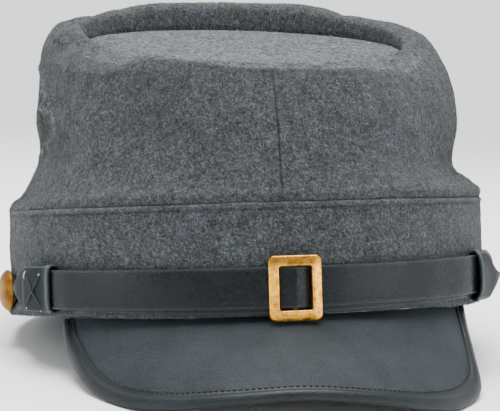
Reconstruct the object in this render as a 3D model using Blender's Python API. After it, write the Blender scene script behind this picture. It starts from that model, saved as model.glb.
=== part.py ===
"""A kepi cap: wool band, seamed wool crown round a sunken top, bound leather peak, doubled chin strap
in two stitched keepers, brass slide buckle and two brass side buttons.

It is modelled in the cap's own frame, in metres: Z runs up the band's axis from the band's lower edge,
the peak points along -Y, and left and right are as seen from the front. Azimuths are measured from
the front, positive to the right. At the end the cap is stood on the corners of its peak and the back
of its band, with its origin at the middle of its base.
"""

import math
from collections import namedtuple

import bpy
import numpy as np
from mathutils import Matrix, Vector

# Clearance between pieces that touch on the real cap.
GAP = 0.0003

# Wool band
BAND_HEIGHT = 0.0395
BAND_WALL = 0.0026
BAND_STEPS = 48
HEM_SLANT = 0.0010

# Crown, a left and a right panel
CROWN_WALL = 0.0022
CROWN_STEPS = 27
SIDE_ROWS = 9
ROLL_ROWS = 8
SEAM_HALF_GAP = 0.00017
SEAM_LEAN = math.radians(1.7)
FOLD_RADIUS = 0.085
FOLD_FADE = 0.010

# Sunken round top
TOP_RADIUS = 0.0618
TOP_CENTRE = (0.0, -0.009, 0.102)
TOP_PITCH = math.radians(12.3)
TOP_ROLL = math.radians(1.75)
TOP_THICKNESS = 0.0022
TUCK_DEPTH = 0.0026

# Leather peak and its binding
PEAK_THICKNESS = 0.0016
PEAK_ROOT_INSET = 0.0030
PEAK_ROOT_Z = -0.0004
PEAK_END_Z = -0.0030
PEAK_ARCH = 0.0022
PEAK_STEPS = 41
PEAK_ROWS = 7
PEAK_EDGE_INSET = 0.0018
PEAK_MARGIN = 0.0004
PEAK_LEAST_DEPTH = 0.0010
RIM_INSET = 0.0026
EDGE_SAMPLES = 600
BINDING_WIDTH = 0.0042
BINDING_LEAST = 0.0023
BINDING_WALL = 0.0008
BINDING_ROUND = 0.0006

# Chin strap, two layers of leather
STRAP_THICKNESS = 0.0012
STRAP_WIDTH = 0.0140
STRAP_MID_Z = 0.0102
STRAP_RISE_LEFT = 0.0003
STRAP_RISE_RIGHT = 0.0007
STRAP_END_LEFT = -61.0
STRAP_END_RIGHT = 57.0
STRAP_STEPS = 44
UNDER_DROP = 0.0021
UNDER_DROP_SPAN_LEFT = 52.0
UNDER_DROP_SPAN_RIGHT = 72.0
KEEPER_LIFT = 0.0014
LIFT_FROM = 38.0
LIFT_TO = 50.0

# Brass slide buckle
BUCKLE_X = 0.0022
BUCKLE_Z = 0.0101
BUCKLE_WIDTH = 0.0189
BUCKLE_HEIGHT = 0.0223
BUCKLE_CORNER = 0.0022
WINDOW_WIDTH = 0.0114
WINDOW_HEIGHT = 0.0149
WINDOW_CORNER = 0.0008
BUCKLE_THICKNESS = 0.0026
BUCKLE_BACK = 0.0034
BAR_RADIUS = 0.0009
BAR_OFFSET = 0.0027
BAR_HUMP = 0.0021
BAR_HUMP_REACH = 0.0026
BAR_HUMP_HALF_SPAN = 0.0062
BAR_HUMP_STEPS = 13

# Keepers
KEEPER_SIDES = 16
POCKET_END_ROW = 3
OUTER_ROUNDING = 0.5
POCKET_ROUNDING = 0.3
TAB_BACK = -0.0006
TAB_FRONT = TAB_BACK + STRAP_THICKNESS

# Side buttons
BUTTON_AZIMUTH = 81.5
BUTTON_TURN = math.radians(5.0)
BUTTON_RADIUS = 0.0079
BUTTON_SEAT = 0.0013
BUTTON_STEPS = 24
SHANK_RADIUS = 0.0011
SHANK_BACK = 0.0017
SHANK_HOLE_RADIUS = 0.0016

REST_ROUNDS = 6

# Each ring is the outline of the cloth at one height: how far it reaches to the front, back, right and
# left of the band's axis, and its height at those four places.
Ring = namedtuple("Ring", "front back right left z_front z_back z_right z_left")

STRAP_RING = Ring(0.0960, 0.0960, 0.0930, 0.0931, 0.0195, 0.0195, 0.0195, 0.0195)

BAND_RINGS = [
    Ring(0.0953, 0.0951, 0.0924, 0.0936, 0.0006, -0.0008, 0.0000, -0.0008),  # hem
    Ring(0.0957, 0.0957, 0.0928, 0.0942, 0.0013, 0.0008, 0.0012, 0.0008),  # fullest part of the hem
    Ring(0.0958, 0.0958, 0.0922, 0.0924, 0.0035, 0.0035, 0.0035, 0.0035),
    Ring(0.0959, 0.0959, 0.0917, 0.0917, 0.0080, 0.0080, 0.0080, 0.0080),  # drawn in under the strap
    Ring(0.0959, 0.0959, 0.0917, 0.0917, 0.0150, 0.0150, 0.0150, 0.0150),
    STRAP_RING,
    Ring(0.0960, 0.0960, 0.0930, 0.0930, BAND_HEIGHT, BAND_HEIGHT, BAND_HEIGHT, BAND_HEIGHT),
]

CROWN_RINGS = [
    Ring(0.0960, 0.0960, 0.0930, 0.0930, 0.0398, 0.0398, 0.0398, 0.0398),  # seam to the band
    Ring(0.0945, 0.0945, 0.0884, 0.0868, 0.0450, 0.0455, 0.0450, 0.0465),  # flare
    Ring(0.0918, 0.0910, 0.0832, 0.0800, 0.0560, 0.0590, 0.0540, 0.0615),  # waist
    Ring(0.0894, 0.0890, 0.0854, 0.0806, 0.0680, 0.0770, 0.0700, 0.0750),  # belly
    Ring(0.0865, 0.0865, 0.0843, 0.0800, 0.0775, 0.0960, 0.0850, 0.0910),  # chest
    Ring(0.0833, 0.0810, 0.0808, 0.0784, 0.0840, 0.1130, 0.0965, 0.1025),  # shoulder
    Ring(0.0800, 0.0730, 0.0750, 0.0734, 0.0872, 0.1240, 0.1052, 0.1090),  # brow
    Ring(0.0762, 0.0640, 0.0692, 0.0686, 0.0888, 0.1290, 0.1080, 0.1122),  # crest
    Ring(0.0727, 0.0570, 0.0648, 0.0648, 0.0892, 0.1250, 0.1054, 0.1096),  # inner side of the roll
]

# A fold is a soft ridge or dent along a line on the crown, from one azimuth and height to another.
# It pushes the cloth outward and lifts it; negative values dent it.
Fold = namedtuple("Fold", "azimuth z to_azimuth to_z width push lift")

FOLDS = [
    Fold(-86, 0.094, -73, 0.078, 0.0045, 0.0014, 0.0),  # upper arm of the left crease
    Fold(-73, 0.078, -82, 0.060, 0.0045, 0.0014, 0.0),  # lower arm of the left crease
    Fold(-90, 0.090, -82, 0.076, 0.0050, -0.0030, 0.0),  # hollow behind the left crease
    Fold(-106, 0.094, -100, 0.070, 0.0100, 0.0030, 0.0),  # bulge behind that hollow
    Fold(62, 0.0535, 118, 0.0535, 0.0034, -0.0026, 0.0),  # nip at the right waist
    Fold(70, 0.052, 80, 0.043, 0.0035, 0.0012, 0.0),  # soft ridge under the nip
    Fold(76, 0.048, 100, 0.044, 0.0034, 0.0022, 0.0),  # cloth bulging over the band
    Fold(14, 0.068, 13, 0.054, 0.0040, 0.0007, 0.0),  # faint upright crease at the front
    Fold(-42, 0.082, -30, 0.058, 0.0100, -0.0012, 0.0),  # shallow dent, front left
    Fold(44, 0.080, 52, 0.056, 0.0110, -0.0012, 0.0),  # shallow dent, front right
    Fold(-74, 0.107, -46, 0.098, 0.0090, 0.0, -0.0034),  # roll flattened at the front left
    Fold(72, 0.103, 48, 0.096, 0.0090, 0.0, -0.0030),  # roll flattened at the front right
    Fold(-120, 0.122, -124, 0.108, 0.0080, 0.0, -0.0032),  # dip in the roll, back left
    Fold(-100, 0.113, -84, 0.107, 0.0070, 0.0020, 0.0004),  # full left end of the roll
    Fold(133, 0.120, 130, 0.107, 0.0060, 0.0, -0.0018),  # dip in the roll, back right
    Fold(154, 0.128, 147, 0.112, 0.0110, 0.0, 0.0016),  # roll raised beside that dip
    Fold(165, 0.100, 172, 0.066, 0.0130, -0.0020, 0.0),  # slack cloth at the back
    Fold(-160, 0.096, -150, 0.064, 0.0130, -0.0018, 0.0),  # slack cloth at the back, left
]

# The nose line of the peak's binding, from the left end to the right one.
EdgePoint = namedtuple("EdgePoint", "x y z")

PEAK_EDGE = [
    EdgePoint(-0.0752, -0.0566, -0.0032),  # left end, under the band
    EdgePoint(-0.0742, -0.0636, -0.0095),
    EdgePoint(-0.0718, -0.0748, -0.0160),  # left side
    EdgePoint(-0.0668, -0.0910, -0.0230),
    EdgePoint(-0.0576, -0.1066, -0.0269),  # left corner
    EdgePoint(-0.0432, -0.1210, -0.0269),
    EdgePoint(-0.0236, -0.1324, -0.0247),
    EdgePoint(0.0000, -0.1369, -0.0235),  # middle
    EdgePoint(0.0234, -0.1326, -0.0266),
    EdgePoint(0.0426, -0.1222, -0.0306),
    EdgePoint(0.0580, -0.1078, -0.0326),  # right corner
    EdgePoint(0.0682, -0.0918, -0.0292),
    EdgePoint(0.0709, -0.0758, -0.0210),  # right side
    EdgePoint(0.0718, -0.0648, -0.0116),
    EdgePoint(0.0732, -0.0574, -0.0036),  # right end, under the band
]

# A keeper from its open mouth (place 0) past the shoulders of its pointed flap (1) and the flap's tip (2)
# to the start, the hole (3) and the end of the tab under the button. Each row has half the height and the
# offsets of back and front from the band, how much of the flap's flare it takes, and the same sizes for
# the pocket that the strap goes into.
KeeperRow = namedtuple("KeeperRow", "place half back front flare pocket_half pocket_back pocket_front")

KEEPER_ROWS = [
    KeeperRow(0.00, 0.0085, 0.0003, 0.0069, 0.0, 0.0076, 0.0014, 0.0058),  # mouth
    KeeperRow(0.30, 0.0085, 0.0003, 0.0068, 0.0, 0.0076, 0.0014, 0.0056),
    KeeperRow(0.65, 0.0085, 0.0003, 0.0065, 0.0, 0.0076, 0.0014, 0.0053),  # loop
    KeeperRow(0.92, 0.0084, 0.0003, 0.0063, 0.1, 0.0075, 0.0014, 0.0050),  # bottom of the pocket
    KeeperRow(1.08, 0.0082, 0.0003, 0.0062, 0.2, 0.0, 0.0, 0.0),  # shoulder
    KeeperRow(1.55, 0.0046, 0.0008, 0.0061, 0.6, 0.0, 0.0, 0.0),
    KeeperRow(2.00, 0.0010, 0.0026, 0.0056, 1.0, 0.0, 0.0, 0.0),  # tip, standing off the wool
    KeeperRow(2.20, 0.0024, 0.0000, 0.0012, 0.0, 0.0, 0.0, 0.0),
    KeeperRow(2.55, 0.0032, TAB_BACK, TAB_FRONT, 0.0, 0.0, 0.0, 0.0),  # tab
    KeeperRow(3.35, 0.0032, TAB_BACK, TAB_FRONT, 0.0, 0.0, 0.0, 0.0),  # its end, behind the button
]

# The two keepers: the side they are on, the azimuths of mouth, shoulder and tip, the mid height, how much
# taller than the table and how much further off the band at the tip, and the height of the button.
Keeper = namedtuple("Keeper", "name side mouth shoulder tip mid_z growth flare button_z")

KEEPERS = [
    Keeper("keeper_left", -1, 53.8, 63.6, 69.3, 0.0107, 1.0, 0.0, 0.0090),
    Keeper("keeper_right", 1, 52.0, 58.6, 66.7, 0.0103, 1.11, 0.0020, 0.0108),
]

# A button's outline from its back outward: radius and height above its back face.
ButtonRow = namedtuple("ButtonRow", "radius height")

BUTTON_ROWS = [
    ButtonRow(0.0068, 0.0),
    ButtonRow(0.0077, 0.0003),
    ButtonRow(BUTTON_RADIUS, 0.0009),
    ButtonRow(0.0075, 0.0016),
    ButtonRow(0.0063, 0.0028),
    ButtonRow(0.0043, 0.0037),
    ButtonRow(0.0021, 0.0041),
]


def clear_scene():
    for obj in list(bpy.data.objects):
        bpy.data.objects.remove(obj, do_unlink=True)


def unit(vectors):
    return vectors / np.linalg.norm(vectors, axis=-1, keepdims=True)


def smooth_through(knots, rows, places):
    """A cubic curve through the rows, whose slope at each row is that of a parabola through its neighbours."""
    knots = np.asarray(knots, float)
    rows = np.asarray(rows, float)
    slopes = np.gradient(rows, knots, axis=0)
    index = np.clip(np.searchsorted(knots, places, side="right") - 1, 0, len(knots) - 2)
    step = (knots[index + 1] - knots[index])[..., None]
    u = (places - knots[index])[..., None] / step
    start = rows[index] * (1 + 2 * u) * (1 - u) ** 2 + slopes[index] * step * u * (1 - u) ** 2
    end = rows[index + 1] * u**2 * (3 - 2 * u) + slopes[index + 1] * step * u**2 * (u - 1)
    return start + end


def ring_points(rings, azimuth):
    """Points at an azimuth on each ring; rings holds a Ring's eight columns on its last axis."""
    reaches = np.moveaxis(rings, -1, 0)
    front, back, right, left, z_front, z_back, z_right, z_left = reaches
    s = np.sin(azimuth)
    c = np.cos(azimuth)
    x = s * (right + left) / 2 + s * s * (right - left) / 2
    y = -c * (front + back) / 2 + (back - front) / 2
    level = (z_front + z_back + z_right + z_left) / 4
    pitch = c * (z_front - z_back) / 2
    roll = s * (z_right - z_left) / 2
    saddle = np.cos(2 * azimuth) * (z_front + z_back - z_right - z_left) / 4
    return np.stack([x, y, level + pitch + roll + saddle], axis=-1)


def top_ring(radius, depth):
    """A ring about the sunken top's middle, a depth below its upper face."""
    x, y, z = TOP_CENTRE
    y += depth * math.sin(TOP_PITCH)
    z -= depth * math.cos(TOP_PITCH)
    reach = radius * math.cos(TOP_PITCH)
    rise = radius * math.sin(TOP_PITCH)
    side = radius * math.cos(TOP_ROLL)
    dip = radius * math.sin(TOP_ROLL)
    return Ring(reach - y, reach + y, side + x, side - x, z - rise, z + rise, z - dip, z + dip)


def crown_rows():
    """The crown's rings with its two last ones, at the sunken top, and how far along the cloth each lies."""
    tuck = [top_ring(TOP_RADIUS + GAP, depth) for depth in (0.0, TUCK_DEPTH)]
    rows = np.array(CROWN_RINGS + tuck)
    profile = np.stack([rows[:, :4].mean(axis=1), rows[:, 4:].mean(axis=1)], axis=1)
    steps = np.linalg.norm(np.diff(profile, axis=0), axis=1)
    return np.concatenate([[0.0], np.cumsum(steps)]), rows


def fold_shift(azimuth, z):
    """How far the folds push the cloth outward and lift it at a place on the crown."""
    push = np.zeros(np.shape(z))
    lift = np.zeros(np.shape(z))
    for fold in FOLDS:
        start = math.radians(fold.azimuth)
        turn = (azimuth - start + math.pi) % (2 * math.pi) - math.pi
        along = FOLD_RADIUS * math.radians(fold.to_azimuth - fold.azimuth)
        up = fold.to_z - fold.z
        place_x = FOLD_RADIUS * turn
        place_z = z - fold.z
        share = np.clip((place_x * along + place_z * up) / (along**2 + up**2), 0, 1)
        distance = np.hypot(place_x - share * along, place_z - share * up)
        weight = np.exp(-((distance / fold.width) ** 2))
        push = push + fold.push * weight
        lift = lift + fold.lift * weight
    return push, lift


def crown_surface(place, azimuth):
    """The crown's outer face at a distance along the cloth from the band's seam, and an azimuth."""
    knots, rows = crown_rows()
    azimuth = azimuth - SEAM_LEAN * np.cos(azimuth) * (place / knots[-1]) ** 3
    points = ring_points(smooth_through(knots, rows, place), azimuth)
    push, lift = fold_shift(azimuth, points[..., 2])
    near_seam = np.clip(place / FOLD_FADE, 0, 1)
    near_top = np.clip((knots[-2] - place) / FOLD_FADE, 0, 1)
    fade = near_seam**2 * (3 - 2 * near_seam) * near_top**2 * (3 - 2 * near_top)
    outward = np.stack([np.sin(azimuth), -np.cos(azimuth), np.zeros(np.shape(azimuth))], axis=-1)
    points = points + outward * (push * fade)[..., None]
    points[..., 2] += lift * fade
    return points


def surface_normals(surface, place, azimuth, reach):
    step = 1e-4
    before = np.maximum(place - step, 0)
    after = np.minimum(place + step, reach)
    along = surface(after, azimuth) - surface(before, azimuth)
    around = surface(place, azimuth + step) - surface(place, azimuth - step)
    return unit(np.cross(around, along))


def band_outline(azimuth, offset):
    """The band's outline at the height of the strap's upper edge, moved outward by an offset."""
    ring = np.array(STRAP_RING)
    azimuth = np.asarray(azimuth, float)
    rings = np.broadcast_to(ring, azimuth.shape + ring.shape)
    step = 1e-4
    around = ring_points(rings, azimuth + step) - ring_points(rings, azimuth - step)
    outward = unit(np.stack([around[..., 1], -around[..., 0], 0 * around[..., 2]], axis=-1))
    return ring_points(rings, azimuth) + outward * np.asarray(offset, float)[..., None], outward


def principled(name, colour, roughness, metallic=0.0):
    material = bpy.data.materials.new(name)
    material.use_nodes = True
    shader = material.node_tree.nodes["Principled BSDF"]
    shader.inputs["Base Color"].default_value = (*colour, 1.0)
    shader.inputs["Roughness"].default_value = roughness
    shader.inputs["Metallic"].default_value = metallic
    return material


def wool(name):
    return principled(name, (0.125, 0.135, 0.142), 0.95)


def leather(name):
    return principled(name, (0.030, 0.037, 0.042), 0.42)


def brass(name):
    return principled(name, (0.72, 0.40, 0.12), 0.34, 1.0)


def add_object(name, points, faces, material, parent):
    mesh = bpy.data.meshes.new(name)
    mesh.from_pydata([tuple(point) for point in points], [], faces)
    mesh.materials.append(material)
    mesh.shade_smooth()
    mesh.set_sharp_from_angle(angle=math.radians(40))
    obj = bpy.data.objects.new(name, mesh)
    bpy.context.scene.collection.objects.link(obj)
    obj.parent = parent
    return obj


def grid_faces(rows, columns, start, closed):
    """Quads over a grid of points. Seen from the side they face, rows run up and columns to the right."""
    faces = []
    for row in range(rows - 1):
        for column in range(columns if closed else columns - 1):
            right = (column + 1) % columns
            low = start + row * columns
            high = low + columns
            faces.append((low + column, low + right, high + right, high + column))
    return faces


def wall_object(name, outer, inner, closed, material, parent):
    """A closed wall between two grids of points of one shape, such as the two faces of a cloth panel."""
    rows, columns = outer.shape[:2]
    points = np.concatenate([outer.reshape(-1, 3), inner.reshape(-1, 3)])
    count = rows * columns
    faces = grid_faces(rows, columns, 0, closed)
    faces += [face[::-1] for face in grid_faces(rows, columns, count, closed)]
    last = (rows - 1) * columns
    for column in range(columns if closed else columns - 1):
        right = (column + 1) % columns
        faces.append((column, column + count, right + count, right))
        faces.append((last + column, last + right, last + right + count, last + column + count))
    if not closed:
        for row in range(rows - 1):
            low = row * columns
            high = low + columns
            faces.append((low, high, high + count, low + count))
            low += columns - 1
            high += columns - 1
            faces.append((low, low + count, high + count, high))
    return add_object(name, points, faces, material, parent)


def tube_object(name, sections, material, parent, closed_path=False):
    """A solid through cross-sections of equal point counts, each running anticlockwise seen from its end."""
    count, sides = sections.shape[:2]
    points = sections.reshape(-1, 3)
    faces = []
    for section in range(count if closed_path else count - 1):
        here = section * sides
        there = (section + 1) % count * sides
        for side in range(sides):
            turn = (side + 1) % sides
            faces.append((here + side, there + side, there + turn, here + turn))
    if not closed_path:
        faces.append(tuple(range(sides)))
        faces.append(tuple(reversed(range((count - 1) * sides, count * sides))))
    return add_object(name, points, faces, material, parent)


def make_band(parent):
    azimuth = np.linspace(-math.pi, math.pi, BAND_STEPS, endpoint=False)[None, :]
    rings = np.array(BAND_RINGS)
    rounded_hem = rings[:1].copy()
    rounded_hem[:, :4] -= BAND_WALL / 3
    rings[0, 4:] += BAND_WALL / 5
    rings = np.concatenate([rounded_hem, rings])[:, None, :]
    outer = ring_points(rings, azimuth)
    narrowed = rings.copy()
    narrowed[..., :4] -= BAND_WALL
    narrowed[0, ..., :4] += BAND_WALL / 3
    narrowed[0, ..., 4:] += HEM_SLANT
    narrowed[1, ..., 4:] += HEM_SLANT
    inner = ring_points(narrowed, azimuth)
    return wall_object("band", outer, inner, True, wool("wool_band"), parent)


def make_crown_panel(name, start, end, parent):
    """One side panel, from the band's seam over the roll at its upper edge and down to the sunken top."""
    knots, _ = crown_rows()
    brow = knots[6]
    side = np.linspace(0, brow, SIDE_ROWS, endpoint=False)
    roll = np.linspace(brow, knots[-2], ROLL_ROWS)
    place = np.concatenate([side, roll, knots[-1:]])[:, None]
    azimuth = np.linspace(start, end, CROWN_STEPS)[None, :]
    place, azimuth = np.broadcast_arrays(place, azimuth)
    outer = crown_surface(place, azimuth)
    inner = outer - CROWN_WALL * surface_normals(crown_surface, place, azimuth, knots[-1])
    inner[0, :, 2] = outer[0, :, 2]
    return wall_object(name, outer, inner, False, wool(f"wool_{name}"), parent)


def make_top(parent):
    """The flat round top, sunk inside the roll of the crown."""
    azimuth = np.linspace(-math.pi, math.pi, 2 * CROWN_STEPS, endpoint=False)
    edge = TOP_THICKNESS / 4
    levels = [
        (TOP_RADIUS - edge, TOP_THICKNESS),
        (TOP_RADIUS, TOP_THICKNESS - edge),
        (TOP_RADIUS, edge),
        (TOP_RADIUS - edge, 0.0),
    ]
    rings = np.array([top_ring(radius, depth) for radius, depth in levels])
    sections = ring_points(rings[:, None, :], azimuth[None, :])
    return tube_object("crown_top", sections[:, ::-1], wool("wool_crown_top"), parent)


def peak_edge(share):
    """The nose line at shares of its length from the left end."""
    table = np.array(PEAK_EDGE)
    steps = np.linalg.norm(np.diff(table, axis=0), axis=1)
    knots = np.concatenate([[0.0], np.cumsum(steps)])
    return smooth_through(knots / knots[-1], table, np.asarray(share, float))


def peak_root_y(x):
    """Where the peak begins, inside the band's hem, at a distance to the side."""
    hem = BAND_RINGS[0]
    reach = np.where(x > 0, hem.right, hem.left) - PEAK_ROOT_INSET
    return -(hem.front - PEAK_ROOT_INSET) * np.sqrt(1 - np.clip(x / reach, -1, 1) ** 2)


def peak_height(x, y):
    """The height of the peak's middle surface, which runs straight forward from its root to the nose line."""
    edge = peak_edge(np.linspace(0, 1, EDGE_SAMPLES))
    edge_y = np.interp(x, edge[:, 0], edge[:, 1])
    edge_z = np.interp(x, edge[:, 0], edge[:, 2])
    root_y = peak_root_y(x)
    place = (y - root_y) / (edge_y - root_y)
    toward_end = np.abs(x / PEAK_EDGE[0].x) ** 6
    root_z = PEAK_ROOT_Z + (PEAK_END_Z - PEAK_ROOT_Z) * toward_end
    arch = 4 * place * (1 - place) * PEAK_ARCH * (1 - toward_end)
    return root_z + (edge_z - root_z) * place + arch


def peak_normals(x, y):
    step = 0.0004
    slope_x = (peak_height(x + step, y) - peak_height(x - step, y)) / (2 * step)
    slope_y = (peak_height(x, y + step) - peak_height(x, y - step)) / (2 * step)
    return unit(np.stack([-slope_x, -slope_y, np.ones_like(slope_x)], axis=-1))


def peak_rim():
    """Points along the nose line, closer together at its ends, and the level direction inward from each."""
    turn = np.linspace(-1, 1, PEAK_STEPS)
    share = (1 + (turn + np.sin(turn * math.pi / 2)) / 2) / 2
    edge = peak_edge(share)
    along = unit(np.gradient(edge[:, :2], axis=0))
    inward = np.stack([-along[:, 1], along[:, 0]], axis=-1)
    return edge, inward


def rim_points(inset):
    """Points on the peak's middle surface at a level distance in from the nose line, flat near the line."""
    edge, inward = peak_rim()
    place = edge[:, :2] + inward * inset[:, None]
    fold = edge[:, :2] + inward * RIM_INSET
    rise = peak_height(fold[:, 0], fold[:, 1]) - edge[:, 2]
    flat = edge[:, 2] + rise * inset / RIM_INSET
    height = np.where(inset < RIM_INSET, flat, peak_height(place[:, 0], place[:, 1]))
    return np.column_stack([place, height])


def rim_normals():
    """Directions square to the peak's surface along its nose line."""
    along = np.gradient(peak_rim()[0], axis=0)
    flat = np.zeros(PEAK_STEPS)
    across = rim_points(flat + RIM_INSET) - rim_points(flat)
    return unit(np.cross(along, across))


def binding_reach():
    """How wide the binding is at each place: less near its ends, where it would pass inside the band."""
    edge, inward = peak_rim()
    widths = np.linspace(0, BINDING_WIDTH, EDGE_SAMPLES)
    across = edge[:, None, :2] + inward[:, None, :] * widths[None, :, None]
    outside = across[..., 1] < peak_root_y(across[..., 0])
    return np.maximum(BINDING_WIDTH * outside.mean(axis=1), BINDING_LEAST)


def make_peak(parent):
    """The leather plate: a strip round its edge for the binding to grip, then columns straight back to its root."""
    rim = rim_points(np.full(PEAK_STEPS, PEAK_EDGE_INSET))
    fold = rim_points(binding_reach() + PEAK_MARGIN)
    root_y = np.maximum(peak_root_y(fold[:, 0]), fold[:, 1] + PEAK_LEAST_DEPTH)
    place = np.linspace(1, 0, PEAK_ROWS)[:, None]
    y = root_y + (fold[:, 1] - root_y) * place
    x = np.broadcast_to(fold[:, 0], y.shape)
    middle = np.stack([x, y, peak_height(x, y)], axis=-1)
    normal = peak_normals(x, y)
    middle[0] = fold
    normal[0] = rim_normals()
    middle = np.concatenate([rim[None], middle])
    normal = np.concatenate([normal[:1], normal])
    upper = middle + normal * PEAK_THICKNESS / 2
    lower = middle - normal * PEAK_THICKNESS / 2
    return wall_object("peak", upper, lower, False, leather("leather_peak"), parent)


def make_peak_binding(parent):
    """A strip folded over the peak's edge: a U-shaped section carried round from end to end."""
    lip = binding_reach()
    bottom = np.full(PEAK_STEPS, PEAK_EDGE_INSET - GAP)
    nose = np.zeros(PEAK_STEPS)
    slot = PEAK_THICKNESS / 2 + GAP
    face = slot + BINDING_WALL
    section = [
        (lip, slot),
        (bottom, slot),
        (bottom, -slot),
        (lip, -slot),
        (lip, -slot - BINDING_WALL * 0.6),
        ((lip + bottom) / 2, -face),
        (bottom * 0.8, -face),
        (nose + BINDING_ROUND, -face * 0.72),
        (nose, 0.0),
        (nose + BINDING_ROUND, face * 0.72),
        (bottom * 0.8, face),
        ((lip + bottom) / 2, face),
        (lip, slot + BINDING_WALL * 0.6),
    ]
    normal = rim_normals()
    rows = [rim_points(inset) + normal * height for inset, height in section]
    return tube_object("peak_binding", np.stack(rows, axis=1), leather("leather_binding"), parent)


def strap_mid_z(azimuth, drop):
    """Mid height of a strap layer at an azimuth in degrees: it rises to the keepers and hangs by the drop."""
    rise = np.where(azimuth < 0, STRAP_RISE_LEFT, STRAP_RISE_RIGHT)
    span = np.where(azimuth < 0, UNDER_DROP_SPAN_LEFT, UNDER_DROP_SPAN_RIGHT)
    hang = np.clip(1 - (azimuth / span) ** 2, 0, 1)
    return STRAP_MID_Z + rise * (azimuth / LIFT_TO) ** 2 - drop * hang


def strap_object(name, drop, back, hump, parent):
    """A strap layer laid round the front of the band, raised where it enters the keepers.

    It hangs lowest at the front, by the drop, and passes over the buckle's bar in a hump.
    """
    azimuth = np.radians(np.linspace(STRAP_END_LEFT, STRAP_END_RIGHT, STRAP_STEPS))
    buckle_azimuth = math.asin(BUCKLE_X / STRAP_RING.right)
    if hump:
        reach = BAR_HUMP_HALF_SPAN / STRAP_RING.front
        near = buckle_azimuth + np.linspace(-reach, reach, BAR_HUMP_STEPS)
        away = azimuth[abs(azimuth - buckle_azimuth) > reach]
        azimuth = np.sort(np.concatenate([away, near]))
    mid_z = strap_mid_z(np.degrees(azimuth), drop)
    rise = np.clip((np.abs(np.degrees(azimuth)) - LIFT_FROM) / (LIFT_TO - LIFT_FROM), 0, 1)
    offset = back + KEEPER_LIFT * rise**2 * (3 - 2 * rise)
    distance = (azimuth - buckle_azimuth) * STRAP_RING.front
    offset = offset + hump * np.exp(-((distance / BAR_HUMP_REACH) ** 2))
    round_over = STRAP_THICKNESS / 4
    half = STRAP_WIDTH / 2
    section = [
        (0.0, -half + round_over),
        (round_over, -half),
        (STRAP_THICKNESS - round_over, -half),
        (STRAP_THICKNESS, -half + round_over),
        (STRAP_THICKNESS, half - round_over),
        (STRAP_THICKNESS - round_over, half),
        (round_over, half),
        (0.0, half - round_over),
    ]
    rows = []
    for depth, height in section:
        point, _ = band_outline(azimuth, offset + depth)
        point[:, 2] = mid_z + height
        rows.append(point)
    return tube_object(name, np.stack(rows, axis=1), leather(f"leather_{name}"), parent)


def keeper_section(azimuth, mid_z, half_height, back, front, rounding):
    """A flat loop's outline, square to the band; the smaller the rounding, the squarer its corners."""
    points = []
    for turn in np.linspace(0, 2 * math.pi, KEEPER_SIDES, endpoint=False) + math.pi / KEEPER_SIDES:
        across = math.copysign(abs(math.cos(turn)) ** rounding, math.cos(turn))
        up = math.copysign(abs(math.sin(turn)) ** rounding, math.sin(turn))
        offset = (back + front) / 2 + across * (front - back) / 2
        point, _ = band_outline(azimuth, offset)
        point[2] = mid_z + up * half_height
        points.append(point)
    return points


def make_keeper(keeper, parent):
    """A leather loop that holds the strap's end, narrowing to a tab with a hole for the button's shank."""
    tab_end = 2 * BUTTON_AZIMUTH - keeper.tip
    landmarks = (keeper.mouth, keeper.shoulder, keeper.tip, BUTTON_AZIMUTH, tab_end)
    outer = []
    pocket = []
    for index, row in enumerate(KEEPER_ROWS):
        azimuth = keeper.side * math.radians(np.interp(row.place, range(5), landmarks))
        mid_z = np.interp(row.place, (2.0, 3.0), (keeper.mid_z, keeper.button_z))
        half = row.half * keeper.growth
        flare = row.flare * keeper.flare
        outer += keeper_section(azimuth, mid_z, half, row.back + flare, row.front + flare, OUTER_ROUNDING)
        if index <= POCKET_END_ROW:
            half = row.pocket_half * keeper.growth
            back = row.pocket_back
            front = row.pocket_front + flare
            pocket += keeper_section(azimuth, mid_z, half, back, front, POCKET_ROUNDING)
    faces = []
    for row in range(len(KEEPER_ROWS) - 1):
        for corner in range(KEEPER_SIDES):
            turn = (corner + 1) % KEEPER_SIDES
            here = row * KEEPER_SIDES
            there = here + KEEPER_SIDES
            faces.append((here + corner, here + turn, there + turn, there + corner))
    base = len(outer)
    for row in range(POCKET_END_ROW):
        for corner in range(KEEPER_SIDES):
            turn = (corner + 1) % KEEPER_SIDES
            here = base + row * KEEPER_SIDES
            there = here + KEEPER_SIDES
            faces.append((here + turn, here + corner, there + corner, there + turn))
    for corner in range(KEEPER_SIDES):
        turn = (corner + 1) % KEEPER_SIDES
        faces.append((corner, base + corner, base + turn, turn))
    faces.append(tuple(range(base - KEEPER_SIDES, base)))
    pocket_end = base + POCKET_END_ROW * KEEPER_SIDES
    faces.append(tuple(reversed(range(pocket_end, pocket_end + KEEPER_SIDES))))
    if keeper.side < 0:
        faces = [face[::-1] for face in faces]
    obj = add_object(keeper.name, outer + pocket, faces, leather(f"leather_{keeper.name}"), parent)
    cutter = shank_cutter(keeper, parent)
    hole = obj.modifiers.new("shank_hole", "BOOLEAN")
    hole.operation = "DIFFERENCE"
    hole.solver = "EXACT"
    hole.object = cutter
    return obj


def turned(name, rows, steps, material, parent):
    """A round solid about its own Z axis, from (radius, height) rows that start and end on flat faces."""
    azimuth = np.linspace(0, 2 * math.pi, steps, endpoint=False)
    circle = np.stack([np.cos(azimuth), np.sin(azimuth), 0 * azimuth], axis=-1)
    sections = np.array([circle * (radius, radius, 0) + (0, 0, height) for radius, height in rows])
    return tube_object(name, sections[:, ::-1], material, parent)


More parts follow.
